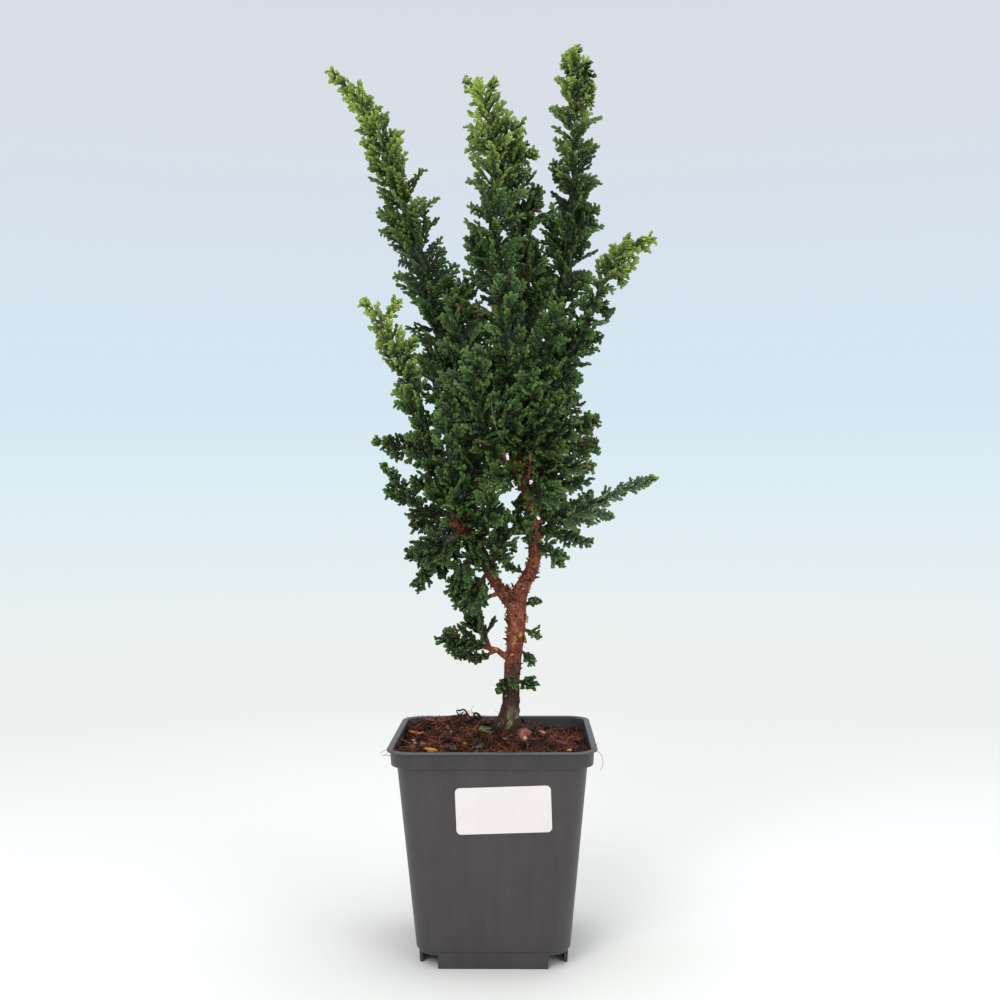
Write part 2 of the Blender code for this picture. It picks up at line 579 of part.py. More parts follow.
def fuse(ob, pieces):
    modifier = ob.modifiers.new("fuse", "BOOLEAN")
    modifier.operation = "UNION"
    modifier.operand_type = "COLLECTION"
    modifier.collection = pieces
    modifier.solver = "MANIFOLD"
    depsgraph = bpy.context.evaluated_depsgraph_get()
    mesh = bpy.data.meshes.new_from_object(ob.evaluated_get(depsgraph))
    ob.modifiers.clear()
    ob.data = mesh
    mesh.name = ob.name
    for piece in list(pieces.objects):
        bpy.data.objects.remove(piece, do_unlink=True)
    bpy.data.collections.remove(pieces)


class Crowd:
    """Everything placed so far, as round-ended sticks that new leaves have to miss."""

    def __init__(self):
        self.a = np.zeros((0, 3))
        self.b = np.zeros((0, 3))
        self.radius = np.zeros(0)
        self.owner = np.zeros(0, int)

    def add(self, a, b, radius, owner):
        self.a = np.vstack([self.a, np.atleast_2d(a)])
        self.b = np.vstack([self.b, np.atleast_2d(b)])
        self.radius = np.append(self.radius, radius)
        self.owner = np.append(self.owner, np.full(len(np.atleast_2d(a)), owner))

    def room(self, points, owner):
        """The clear distance from each point to the nearest stick of another owner."""
        other = self.owner != owner
        a = self.a[other]
        span = self.b[other] - a
        offset = points[:, None, :] - a[None, :, :]
        share = (offset * span).sum(axis=2) / ((span ** 2).sum(axis=1) + 1e-9)
        nearest = offset - np.clip(share, 0, 1)[:, :, None] * span[None, :, :]
        return (np.linalg.norm(nearest, axis=2) - self.radius[other]).min(axis=1)


def make_core(name, path):
    bare, reaches, _ = STEMS[name]
    total = lengths_along(path)[-1]
    leafy = cut_path(path, bare + GAP / MM, total)
    along = lengths_along(leafy)
    longest_step = along[-1] / RINGS_AT_LEAST
    stations = [0.0]
    while stations[-1] < along[-1]:
        radius = core_radius(reach_at(reaches, stations[-1] / along[-1]))
        step = float(np.clip(RING_SHARE * radius, *RING_STEP))
        stations.append(stations[-1] + min(step, longest_step))
    shares = np.array(stations) / stations[-1]
    core = np.column_stack([np.interp(shares * along[-1], along, column) for column in leafy.T])
    radii = np.array([core_radius(reach_at(reaches, s)) for s in shares])
    radii[0] *= CORE_ENDS[0]
    radii[-1] *= CORE_ENDS[1]
    return core, radii, shares


def grow_leaves(name, index, core, radii, shares, crowd):
    """Extrudes a leaf spray from every second face of the core, as far as its neighbours allow."""
    rng = random.Random(name)
    reaches = STEMS[name][1]
    resolution = 1 if radii.max() > SIX_SIDED_FROM else 0
    mesh = tube(name, core, radii, resolution, math.pi / (4 + 2 * resolution))
    bm = bmesh.new()
    bm.from_mesh(mesh)
    walls = [f for f in bm.faces if len({nearest_ring(v.co, core) for v in f.verts}) > 1]
    bmesh.ops.triangulate(bm, faces=walls)
    tangents = np.gradient(core, axis=0)
    tangents /= np.linalg.norm(tangents, axis=1, keepdims=True)
    chosen = []
    bm.verts.ensure_lookup_table()
    for face in bm.faces:
        rings = [nearest_ring(vertex.co, core) for vertex in face.verts]
        centre = np.array(face.calc_center_median()) / MM
        ring = nearest_ring(face.calc_center_median(), core)
        low, high = min(rings), max(rings)
        at_tip = low == high == len(core) - 1
        if low == high and not at_tip:
            continue
        if not at_tip and rings.count(low) != 2:
            continue
        share = (shares[low] + shares[high]) / 2
        if not at_tip and rng.random() * FULL_LEAVES_FROM > radii[ring] + ALWAYS_LEAFY:
            continue
        tangent = tangents[ring]
        outward = np.array(face.normal)
        side = outward - tangent * outward.dot(tangent)
        side /= np.linalg.norm(side) + 1e-9
        near_tip = max(0, share - LEAN_LOST_FROM) / (1 - LEAN_LOST_FROM)
        lean = math.radians(rng.uniform(*LEAF_LEAN) - LEAN_LOST_AT_TIP * near_tip)
        if low == 0:
            lean = min(lean, math.radians(FIRST_LEAF_LEAN))
        if at_tip:
            lean = math.radians(END_LEAF_LEAN)
        aim = side * math.sin(lean) + tangent * math.cos(lean)
        aim += np.array([rng.uniform(-AIM_SCATTER, AIM_SCATTER) for _ in range(3)])
        aim /= np.linalg.norm(aim)
        offset = np.linalg.norm(centre - core[ring])
        wanted = (reach_at(reaches, share) - offset) / math.sin(max(lean, LEAN_COUNTED))
        length = wanted * rng.choice(LEAF_LENGTHS)
        if at_tip:
            length = max(END_LEAF_SHORTEST, reach_at(reaches, 1) * END_LEAF_SHARE)
        length = min(length, LEAF_LONGEST)
        base_radius = face_radius(face, Vector(centre) * MM) / MM
        tip_radius = float(np.clip(LEAF_TIP_SHARE * base_radius, *LEAF_TIP_RADIUS))
        while length > LEAF_SHORTEST:
            places = np.linspace(1 / LEAF_SAMPLES, 1, LEAF_SAMPLES)
            samples = centre + aim * places[:, None] * length
            widths = base_radius + (tip_radius - base_radius) * places
            if (crowd.room(samples, index) > widths + CLEARANCE).all():
                break
            length *= LEAF_SHORTENING
        if length <= LEAF_SHORTEST:
            continue
        crowd.add(centre, centre + aim * length, (base_radius + tip_radius) / 2, index)
        chosen.append((face, centre, aim, length, tip_radius))
    made = bmesh.ops.extrude_discrete_faces(bm, faces=[c[0] for c in chosen])["faces"]
    for face, (_, centre, aim, length, tip_radius) in zip(made, chosen):
        base = Vector(centre) * MM
        size = face_radius(face, base)
        top = base + Vector(aim) * length * MM
        for vertex in face.verts:
            vertex.co = top + (vertex.co - base) * (tip_radius * MM / size)
    bmesh.ops.recalc_face_normals(bm, faces=bm.faces[:])
    bm.to_mesh(mesh)
    bm.free()
    return mesh


def face_radius(face, centre):
    return sum((v.co - centre).length for v in face.verts) / len(face.verts)


def nearest_ring(place, core):
    return int(np.linalg.norm(core - np.array(place) / MM, axis=1).argmin())


def make_foliage(paths, collection, material):
    crowd = Crowd()
    for points in WOOD.values():
        path = smooth_path(points, PATH_STEP)
        radii = (path[:-1, 3] + path[1:, 3]) / 2 + BARK_CLEARANCE
        crowd.add(path[:-1, :3], path[1:, :3], radii, WOOD_OWNER)
    for name, path in paths.items():
        twig = cut_path(path, 0, STEMS[name][0])
        crowd.add(twig[:-1], twig[1:], np.full(len(twig) - 1, TWIG_RADIUS[0]), WOOD_OWNER)
    cores = {}
    for index, (name, path) in enumerate(paths.items()):
        core, radii, shares = make_core(name, path)
        room = crowd.room(core[1:], index) - CLEARANCE
        radii[1:] = np.clip(room, CORE_THINNEST, radii[1:])
        crowd.add(core[:-1], core[1:], np.maximum(radii[:-1], radii[1:]), index)
        cores[name] = (core, radii, shares)
    for index, name in enumerate(paths):
        mesh = grow_leaves(name, index, *cores[name], crowd)
        add_object(name, mesh, material, collection)


def main():
    clear_scene()
    parts = bpy.data.collections.new("hinoki_cypress_bonsai")
    cutters = bpy.data.collections.new("cutters")
    for collection in (parts, cutters):
        bpy.context.scene.collection.children.link(collection)
    materials = {name: make_material(name) for name in COLOURS}
    make_pot(parts, cutters, materials["pot"])
    make_label(parts, materials["label"])
    make_soil(parts, materials["soil"])
    paths = settle_paths()
    make_wood(paths, parts, materials["wood"])
    make_foliage(paths, parts, materials["foliage"])


main()
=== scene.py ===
# Potted dwarf hinoki cypress bonsai: the looks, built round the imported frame

import math
import random

import bmesh
import bpy
import numpy as np
from mathutils import Matrix, Vector, kdtree, noise


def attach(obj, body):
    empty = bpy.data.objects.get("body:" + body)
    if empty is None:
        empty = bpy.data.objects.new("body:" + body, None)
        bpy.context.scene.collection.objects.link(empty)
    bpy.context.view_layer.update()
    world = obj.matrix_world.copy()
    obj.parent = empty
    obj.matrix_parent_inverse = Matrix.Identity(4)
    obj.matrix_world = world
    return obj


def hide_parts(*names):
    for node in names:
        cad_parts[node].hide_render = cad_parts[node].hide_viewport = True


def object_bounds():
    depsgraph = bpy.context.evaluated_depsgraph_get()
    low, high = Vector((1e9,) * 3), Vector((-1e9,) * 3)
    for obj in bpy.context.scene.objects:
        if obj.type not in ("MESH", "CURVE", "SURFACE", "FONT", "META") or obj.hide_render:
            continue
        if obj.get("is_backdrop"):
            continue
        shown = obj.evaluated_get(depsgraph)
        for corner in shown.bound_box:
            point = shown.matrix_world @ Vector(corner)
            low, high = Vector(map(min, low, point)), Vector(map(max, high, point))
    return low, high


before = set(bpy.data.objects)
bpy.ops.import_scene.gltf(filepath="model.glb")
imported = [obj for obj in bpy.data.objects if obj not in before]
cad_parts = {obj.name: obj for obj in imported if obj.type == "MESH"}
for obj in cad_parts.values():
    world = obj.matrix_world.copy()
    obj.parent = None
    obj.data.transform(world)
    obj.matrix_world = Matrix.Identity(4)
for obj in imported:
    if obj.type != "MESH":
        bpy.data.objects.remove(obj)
cadBox = [list(corner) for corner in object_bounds()]
scene = bpy.context.scene
mm = 0.001
up = Vector((0, 0, 1))
goldenTurn = math.radians(137.5)    # from one leaf to the next, round a stem


# Node graphs, for materials and for geometry

class Wire:                         # a socket that can stand in a sum
    def __init__(self, graph, socket):
        self.graph = graph
        self.socket = socket

    def maths(self, operation, a, b=None):
        return self.graph.node("ShaderNodeMath", {"operation": operation}, {0: a, 1: b})

    def __add__(self, other):
        return self.maths("ADD", self, other)

    def __radd__(self, other):
        return self.maths("ADD", other, self)

    def __sub__(self, other):
        return self.maths("SUBTRACT", self, other)

    def __rsub__(self, other):
        return self.maths("SUBTRACT", other, self)

    def __mul__(self, other):
        return self.maths("MULTIPLY", self, other)

    def __rmul__(self, other):
        return self.maths("MULTIPLY", other, self)

    def __truediv__(self, other):
        return self.maths("DIVIDE", self, other)

    def __rtruediv__(self, other):
        return self.maths("DIVIDE", other, self)

    def fraction(self):
        return self.maths("FRACT", self)

    def size(self):
        return self.maths("ABSOLUTE", self)

    def rise(self, low, high):      # 0 below low, 1 above high, smooth between; low may be the greater
        return self.graph.node(
            "ShaderNodeMapRange", {"interpolation_type": "SMOOTHSTEP"},
            {"Value": self, "From Min": low, "From Max": high})


def pickSocket(sockets, key):       # by number, by identifier or by name
    if isinstance(key, int):
        return sockets[key]
    for socket in sockets:
        if socket.identifier == key:
            return socket
    return sockets[key]


def setStops(ramp, stops):
    while len(ramp.elements) < len(stops):
        ramp.elements.new(1)
    for element, (place, colour) in zip(ramp.elements, stops):
        element.position = place
        element.color = (*colour, 1)


class Graph:
    def __init__(self, tree):
        self.tree = tree

    def node(self, kind, settings=None, sockets=None, out=0):
        made = self.tree.nodes.new(kind)
        for key, value in (settings or {}).items():
            if key == "stops":
                setStops(made.color_ramp, value)
            else:
                setattr(made, key, value)
        for key, value in (sockets or {}).items():
            self.join(value, pickSocket(made.inputs, key))
        return Wire(self, pickSocket(made.outputs, out))

    def join(self, value, socket):
        if isinstance(value, list):
            for one in value:
                self.join(one, socket)
        elif isinstance(value, Wire):
            self.tree.links.new(value.socket, socket)
        elif value is not None:
            socket.default_value = value

    def along(self, place, axis):   # one coordinate of a place
        return self.node("ShaderNodeSeparateXYZ", {}, {0: place}, axis)

    def shade(self, share, colour):     # multiplies a colour or an arrow by a number
        return self.node(
            "ShaderNodeVectorMath", {"operation": "SCALE"}, {0: colour, "Scale": share})


class Look(Graph):
    def __init__(self, name, gloss, glow=0.0):
        self.material = bpy.data.materials.new(name)
        self.material.use_nodes = True
        super().__init__(self.material.node_tree)
        self.shader = self.tree.nodes["Principled BSDF"]
        self.shader.inputs["Specular IOR Level"].default_value = gloss
        self.shader.inputs["Emission Strength"].default_value = glow

    def place(self):
        return self.node("ShaderNodeTexCoord", out="Object")

    def attribute(self, name):
        return self.node("ShaderNodeAttribute", {"attribute_name": name}, out="Fac")

    def stretch(self, place, scale):
        return self.node("ShaderNodeMapping", {}, {"Vector": place, "Scale": scale})

    def noise(self, place, size, detail=2.0, rough=0.5):
        return self.node(
            "ShaderNodeTexNoise", {},
            {"Vector": place, "Scale": 1 / size, "Detail": detail, "Roughness": rough})

    def cells(self, place, size):   # 0 at the middle of each cell
        return self.node("ShaderNodeTexVoronoi", {}, {"Vector": place, "Scale": 1 / size})

    def mix(self, share, a, b):
        colours = [c if isinstance(c, Wire) else (*c, 1) for c in (a, b)]
        return self.node(
            "ShaderNodeMix", {"data_type": "RGBA"},
            {"Factor_Float": share, "A_Color": colours[0], "B_Color": colours[1]},
            "Result_Color")

    def relief(self, height, depth, strength=1.0):
        return self.node(
            "ShaderNodeBump", {}, {"Height": height, "Distance": depth, "Strength": strength})

    def feed(self, **sockets):
        names = {"colour": "Base Color", "rough": "Roughness", "normal": "Normal",
                 "glow": "Emission Color"}
        for key, value in sockets.items():
            self.join(value, self.shader.inputs[names[key]])
        return self.material


# Looks. Colours are linear, and sizes of patterns are in metres

leafPaint = {
    # Painted light among these: the near-black colour deep in the foliage is painted shade, the pale
    # scale-tip colour a painted highlight and the grey a painted sheen on the right spur; two shares darken
    # the scales' grooves and the low left leaves as painted shade.
    "gloss": 0.36, "hollowShade": (0.003, 0.010, 0.003), "grown": (0.112, 0.222, 0.036),
    "old": (0.022, 0.066, 0.024), "fresh": (0.345, 0.475, 0.075), "bud": (0.160, 0.070, 0.025),
    "dead": (0.190, 0.066, 0.024), "scaleTipHighlight": (0.22, 0.34, 0.11), "grey": (0.22, 0.30, 0.18),
    "patch": 9 * mm, "fine": 0.7 * mm, "rows": 3.2, "grooveShade": 0.74, "deep": 0.28 * mm,
    "shaded": 0.32, "spurSheen": 0.32,
}


def makeLeafLook():
    s = leafPaint
    look = Look("leaf_scales", s["gloss"])
    tone = look.attribute("tone")
    outer = look.attribute("outer")
    fresh = look.attribute("fresh")
    strip = look.node("ShaderNodeUVMap", {"uv_map": "strip"})
    across = look.along(strip, "X")
    strip = look.along(strip, "Y")
    place = look.place()
    patch = look.noise(place, s["patch"])
    fine = look.noise(place, s["fine"], 3)
    # Painted shade: branchlets deep in the sprays and the foot of each branchlet go towards near black,
    # mixed with random tone.
    depth = (outer * 0.8 + patch * 0.5 + tone * 0.35 + strip * 0.4 - 0.80).rise(0.0, 0.88)
    green = look.mix(depth, s["hollowShade"], s["grown"])
    green = look.mix((tone - 0.5).rise(0.0, 0.4) * 0.4, green, s["old"])
    tip = fresh * (outer * 0.5 + strip * 0.55 + 0.15) + (patch - 0.5) * 0.7 * fresh
    green = look.mix(tip.rise(0.15, 0.95), green, s["fresh"])
    bud = (tone - 0.965).rise(0.0, 0.02) * strip.rise(0.55, 0.9) * 0.6
    green = look.mix(bud, green, s["bud"])
    dead = (tone - 0.990).rise(0.0, 0.004) * outer.rise(0.62, 0.50) * fresh.rise(0.20, 0.05)
    green = look.mix(dead * 0.60, green, s["dead"])
    row = (strip * s["rows"] + (across - 0.5).size() * 3.0 + fine * 0.3).fraction()
    # Painted shade in the grooves between the scale rows, then a painted highlight on the scale edges.
    green = look.shade(1 - row.rise(0.26, 0.0) * s["grooveShade"], green)
    green = look.mix(row.rise(0.66, 0.95) * 0.34, green, s["scaleTipHighlight"])
    green = look.shade(fine * 1.0 + 0.48, green)
    right = look.along(place, "X")
    high = look.along(place, "Z")
    shaded = right.rise(0.010, -0.012) * high.rise(0.218, 0.180)    # painted shade on the leaves low on the left
    green = look.shade(1 - shaded * s["shaded"], green)
    spurSheen = right.rise(0.016, 0.056) * high.rise(0.232, 0.204)     # painted sheen, paler and greyer, on the right spur
    green = look.mix(spurSheen * s["spurSheen"], green, s["grey"])
    return look.feed(
        colour=green, rough=0.40 + fine * 0.25,
        normal=look.relief(row * 0.7 + fine * 0.3, s["deep"]))


shootPaint = {                      # the rough core of a leafy stem, and its bare green end
    "gloss": 0.3, "dark": (0.007, 0.017, 0.006), "light": (0.034, 0.072, 0.019),
    "brown": (0.045, 0.018, 0.010), "foot": (0.100, 0.032, 0.018), "young": (0.125, 0.190, 0.040),
    "fine": 0.9 * mm, "clump": 1.7 * mm, "patch": 5 * mm, "deep": 0.8 * mm,
}


def makeShootLook():
    s = shootPaint
    look = Look("shoot_skin", s["gloss"])
    age = look.attribute("age")
    foot = look.attribute("outer")
    place = look.place()
    fine = look.noise(place, s["fine"], 3)
    clump = look.cells(place, s["clump"])
    green = look.mix(clump.rise(0.55, 0.1), s["dark"], s["light"])
    green = look.mix(look.noise(place, s["patch"]).rise(0.58, 0.66) * 0.6, green, s["brown"])
    green = look.mix(foot * 0.9, green, s["foot"])
    colour = look.mix((age + fine * 0.2 - 0.1).rise(0.16, 0.40), s["young"], green)
    return look.feed(
        colour=look.shade(fine * 0.8 + 0.6, colour), rough=0.6,
        normal=look.relief(clump * 0.7 + fine * 0.4, s["deep"], 0.9))


barkPaint = {
    "gloss": 0.25, "crack": (0.055, 0.014, 0.009), "red": (0.25, 0.068, 0.038),
    "patch": (0.31, 0.105, 0.06), "fleck": (0.52, 0.27, 0.19), "orange": (0.50, 0.23, 0.06),
    "footDark": (0.012, 0.007, 0.005), "footLight": (0.074, 0.037, 0.024),
    "lichenDark": (0.085, 0.090, 0.040), "lichenLight": (0.30, 0.24, 0.15),
    "footTop": 0.132, "footEnd": 0.114, "deep": 0.75 * mm,      # heights above the ground
}


def makeBarkLook():
    s = barkPaint
    look = Look("bark_skin", s["gloss"])
    place = look.place()
    height = look.along(place, "Z")
    strand = look.noise(look.stretch(place, (1, 1, 0.3)), 1.1 * mm, 4, 0.6)
    scale = look.cells(look.stretch(place, (1, 1, 0.45)), 1.9 * mm)
    patch = look.noise(place, 6 * mm, 3)
    fleck = look.cells(place, 1.3 * mm)
    red = look.mix(strand.rise(0.3, 0.72), s["crack"], s["red"])
    red = look.mix(patch.rise(0.45, 0.75) * 0.7, red, s["patch"])
    red = look.mix(fleck.rise(0.28, 0.12) * 0.6, red, s["fleck"])
    orange = look.noise(place, 4.2 * mm, 2, 0.4).rise(0.66, 0.72) * height.rise(0.125, 0.135)
    red = look.mix(orange * 0.75, red, s["orange"])
    foot = (height + (patch - 0.5) * 0.02).rise(s["footTop"], s["footEnd"])
    red = look.mix(foot, red, look.mix(strand, s["footDark"], s["footLight"]))
    lichen = look.noise(place, 6.5 * mm, 3).rise(0.54, 0.60) * height.rise(0.110, 0.102)
    tone = look.noise(place, 2.0 * mm).rise(0.4, 0.62)
    red = look.mix(lichen * 0.75, red, look.mix(tone, s["lichenDark"], s["lichenLight"]))
    relief = strand * 0.6 + scale.rise(0.05, 0.5) * 0.5
    return look.feed(
        colour=red, rough=0.75 + patch * 0.2, normal=look.relief(relief, s["deep"]))


def makeFlakeLook(name, dark, light):       # for everything small: chips, fibres, twigs
    look = Look(name, 0.15)
    place = look.place()
    fine = look.noise(look.stretch(place, (1, 1, 0.4)), 0.8 * mm, 3)
    wide = look.noise(place, 5 * mm)
    colour = look.mix(wide.rise(0.35, 0.65), dark, light)
    return look.feed(
        colour=look.shade(fine * 0.9 + 0.55, colour), rough=0.8,
        normal=look.relief(fine, 0.2 * mm, 0.8))


potPaint = {
    "gloss": 0.5, "dark": (0.0315, 0.0264, 0.0266), "light": (0.0475, 0.0402, 0.0402),
    # the rim colour is a painted highlight on the top of the lip
    "scuff": (0.17, 0.17, 0.18), "dust": (0.26, 0.23, 0.20), "rim": (0.105, 0.102, 0.112),
    "streak": 5 * mm, "cloud": 26 * mm, "grain": 0.45 * mm, "deep": 0.10 * mm,
    "bandShade": 0.27, "bandFrom": (0.0875, 0.0895), "rimHighlightFrom": (0.0940, 0.0949),
}


def makePotLook():
    s = potPaint
    look = Look("pot_plastic", s["gloss"])
    place = look.place()
    height = look.along(place, "Z")
    streak = look.noise(look.stretch(place, (1, 1, 0.09)), s["streak"], 4, 0.6)
    cloud = look.noise(place, s["cloud"], 3)
    grain = look.noise(place, s["grain"])
    dust = look.cells(place, 2.6 * mm).rise(0.10, 0.05) * look.noise(place, 11 * mm).rise(0.5, 0.62)
    scuff = look.noise(look.stretch(place, (1, 1, 3.2)), 2.4 * mm, 4, 0.7).rise(0.66, 0.72)
    scuff = scuff * look.noise(place, 17 * mm).rise(0.56, 0.66)
    grey = look.mix((streak * 0.6 + cloud * 0.5).rise(0.3, 0.8), s["dark"], s["light"])
    grey = look.mix(scuff * 0.30, grey, s["scuff"])
    grey = look.mix(dust * 0.45, grey, s["dust"])
    # Painted shade: the band under the lip is darker than the body.
    grey = look.shade(1 - height.rise(*s["bandFrom"]) * s["bandShade"], grey)
    # Painted highlight along the top of the lip.
    grey = look.mix(height.rise(*s["rimHighlightFrom"]) * 0.55, grey, s["rim"])
    return look.feed(
        colour=grey, rough=0.38 + streak * 0.14 + scuff * 0.2 + dust * 0.3,
        normal=look.relief(grain * 0.4 + streak, s["deep"], 0.35))


def makeLabelLook():
    look = Look("label_paper", 0.45)
    place = look.place()
    fibre = look.noise(look.stretch(place, (1, 1, 0.5)), 0.6 * mm, 3)
    cloud = look.noise(place, 12 * mm)
    white = look.mix(cloud.rise(0.3, 0.7), (0.705, 0.650, 0.632), (0.735, 0.680, 0.662))
    return look.feed(
        colour=look.shade(fibre * 0.06 + 0.95, white), rough=0.42 + cloud * 0.12,
        normal=look.relief(fibre, 0.03 * mm, 0.4))


def makeSoilLook():
    look = Look("potting_soil", 0.08)
    place = look.place()
    crumb = look.noise(place, 1.6 * mm, 5, 0.65)
    grain = look.cells(place, 1.2 * mm)
    patch = look.noise(place, 8 * mm, 3)
    brown = look.mix(crumb.rise(0.3, 0.75), (0.003, 0.002, 0.002), (0.072, 0.029, 0.019))
    brown = look.mix(patch.rise(0.45, 0.7) * 0.6, brown, (0.095, 0.030, 0.016))
    brown = look.mix(grain.rise(0.2, 0.08) * 0.2, brown, (0.14, 0.07, 0.045))
    return look.feed(
        colour=brown, rough=0.95, normal=look.relief(crumb + grain * 0.5, 0.9 * mm))


backdrop = {"near": (0.880, 0.896, 0.863), "far": (0.740, 0.850, 0.905), "paper": (0.80, 0.80, 0.765),
            "fade": (0.30, 1.25), "turn": 1.255, "stand": 0.554, "floor": 14,       # metres
            "above": ((0.54, (0.672, 0.799, 0.896)), (0.66, (0.694, 0.730, 0.799)),
                      (0.85, (0.62, 0.64, 0.68)))}      # by height: 0.5 is level, 1 is overhead


def makeFloorLook():                # glows like the backdrop far out, so that no horizon shows
    s = backdrop
    look = Look("floor_paper", 0.0, glow=1.0)
    place = look.place()
    away = look.node("ShaderNodeVectorMath", {"operation": "LENGTH"}, {0: place}, "Value")
    cloud = look.noise(place, 0.25)
    far = away.rise(*s["fade"]) * 0.995
    paper = look.shade((cloud * 0.01 + 0.995) * (1 - far), s["paper"])
    glow = look.mix(1 - s["turn"] / (away + s["stand"]), s["near"], s["far"])
    return look.feed(
        colour=paper, rough=0.78 + cloud * 0.05, glow=look.shade(far, glow))


# Meshes

def newObject(name, mesh, link=True):
    piece = bpy.data.objects.new(name, mesh)
    if link:
        scene.collection.objects.link(piece)
    return piece


def bakedMesh(piece, name):         # the evaluated mesh, without modifiers
    mesh = bpy.data.meshes.new_from_object(
        piece.evaluated_get(bpy.context.evaluated_depsgraph_get()))
    mesh.name = name
    bpy.data.objects.remove(piece, do_unlink=True)
    return mesh


def finished(name, mesh, slot, *nodes):     # a piece of the object, and the nodes it stands for
    piece = newObject(name, mesh)
    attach(piece, "root")
    if nodes:
        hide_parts(*nodes)


def squareRing(half, corner, z, steps, between=0):      # a square with round corners
    corners = []
    for quarter in range(4):
        middle = (quarter + 0.5) * math.pi / 2
        centre = Vector((math.cos(middle), math.sin(middle))) * (half - corner) * math.sqrt(2)
        arc = []
        for step in range(steps + 1):
            angle = (quarter + step / steps) * math.pi / 2
            arc.append(Vector((centre.x + corner * math.cos(angle),
                               centre.y + corner * math.sin(angle), z)))
        corners.append(arc)
    points = []
    for arc, following in zip(corners, corners[1:] + corners[:1]):
        points += arc
        for k in range(between):
            points.append(arc[-1].lerp(following[0], (k + 1) / (between + 1)))
    return points


def loftMesh(rings, tip=None):      # closed by a flat end, or by a point where there is a tip
    shape = bmesh.new()
    loops = [[shape.verts.new(p) for p in ring] for ring in rings]
    end = shape.verts.new(tip) if tip else None
    count = len(rings[0])
    for lower, upper in zip(loops, loops[1:]):
        for i in range(count):
            j = (i + 1) % count
            shape.faces.new((lower[i], lower[j], upper[j], upper[i]))
    if tip:
        for i in range(count):
            shape.faces.new((loops[-1][i], loops[-1][(i + 1) % count], end))
    shape.faces.new(reversed(loops[0]))
    if not tip:
        shape.faces.new(loops[-1])
    return shape


def meshFrom(shape, name, material=None):
    mesh = bpy.data.meshes.new(name)
    shape.to_mesh(mesh)
    shape.free()
    if material:
        mesh.materials.append(material)
    return mesh


def unseen(name, shape):            # a small shape that a geometry tree strews or places
    return newObject(name, meshFrom(shape, name), False)


def collect(name, shapes):
    holder = bpy.data.collections.new(name)
    for shape in shapes:
        holder.objects.link(shape)
    return holder


def tubeMesh(name, lines, rounding=3, look=None):      # lines of x, y, z, radius, in millimetres
    curve = bpy.data.curves.new(name, "CURVE")
    curve.dimensions = "3D"
    curve.bevel_depth = mm
    curve.bevel_resolution = rounding
    curve.use_fill_caps = True
    for line in lines:
        spline = curve.splines.new("POLY")
        spline.points.add(len(line) - 1)
        for point, row in zip(spline.points, line):
            point.co = (row[0] * mm, row[1] * mm, row[2] * mm, 1)
            point.radius = row[3]
    mesh = bakedMesh(newObject(name, curve), name)
    if look:
        mesh.materials.append(look)
    return mesh


def makeLump(place, size, turns, rough, seed):      # millimetres and degrees
    shape = bmesh.new()
    bmesh.ops.create_icosphere(shape, subdivisions=3, radius=0.5)
    for vertex in shape.verts:
        co = vertex.co.copy()
        vertex.co *= 1 + noise.noise(co * 3 + Vector((seed, 0, 0))) * rough
        vertex.co *= 1 + noise.noise(co * 8 + Vector((0, seed, 0))) * rough * 0.4
    turn = Matrix.Identity(4)
    for axis, angle in zip("ZYX", reversed(turns)):
        turn = turn @ Matrix.Rotation(math.radians(angle), 4, axis)
    shape.transform(Matrix.Scale(mm, 4) @ Matrix.Translation(place) @ turn
                    @ Matrix.Diagonal((*size, 1)))
    return shape


def gather(name, shapes, look):     # many shapes as one smooth mesh
    whole = bmesh.new()
    for shape in shapes:
        part = meshFrom(shape, "part")
        whole.from_mesh(part)
        bpy.data.meshes.remove(part)
    mesh = meshFrom(whole, name, look)
    mesh.shade_smooth()
    return mesh


def joinMeshes(name, meshes):       # with the material of each
    shape = bmesh.new()
    materials = []
    for mesh in meshes:
        first = len(shape.faces)
        shape.from_mesh(mesh)
        shape.faces.ensure_lookup_table()
        for face in shape.faces[first:]:
            look = mesh.materials[min(face.material_index, len(mesh.materials) - 1)]
            if look not in materials:
                materials.append(look)
            face.material_index = materials.index(look)
    joined = meshFrom(shape, name)
    for look in materials:
        joined.materials.append(look)
    return joined


def trianglesIn(mesh):
    mesh.calc_loop_triangles()
    return len(mesh.loop_triangles)


# Pot

pot = {
    "lipHalf": 45.0, "bandHalf": 43.2, "bodyTopHalf": 40.8, "bodyFootHalf": 33.4,
    "skirtHalf": 32.5, "height": 95.0, "bandHeight": 88.0, "lipThick": 0.9,
    "skirtHeight": 7.7, "floorThick": 1.4, "wall": 1.2, "skirtWall": 1.5, "corner": 9.0,
    "cornerSteps": 10, "sidePoints": 12, "notchFrom": 23.6, "notchHeight": 6.0,
    "drainRadius": 5.0, "drainOffset": 22.5, "drainDepth": 8, "draft": 0.4,
    "warp": 0.126, "warpSize": 30, "warpFrom": 10, "warpTo": 86, "sharp": 38,
}


def filletLine(rows, steps=3):      # rows are half width, corner, z and fillet, in millimetres
    points = [Vector((half, z, corner)) for half, corner, z, _ in rows]
    line = [points[0]]
    for before, here, after, row in zip(points, points[1:], points[2:], rows[1:]):
        fillet = row[3]
        start = here + (before - here).normalized() * min(fillet, (before - here).length * 0.45)
        end = here + (after - here).normalized() * min(fillet, (after - here).length * 0.45)
        for k in range(steps + 1):
            t = k / steps
            line.append(start.lerp(here, t).lerp(here.lerp(end, t), t))
    return line + [points[-1]]


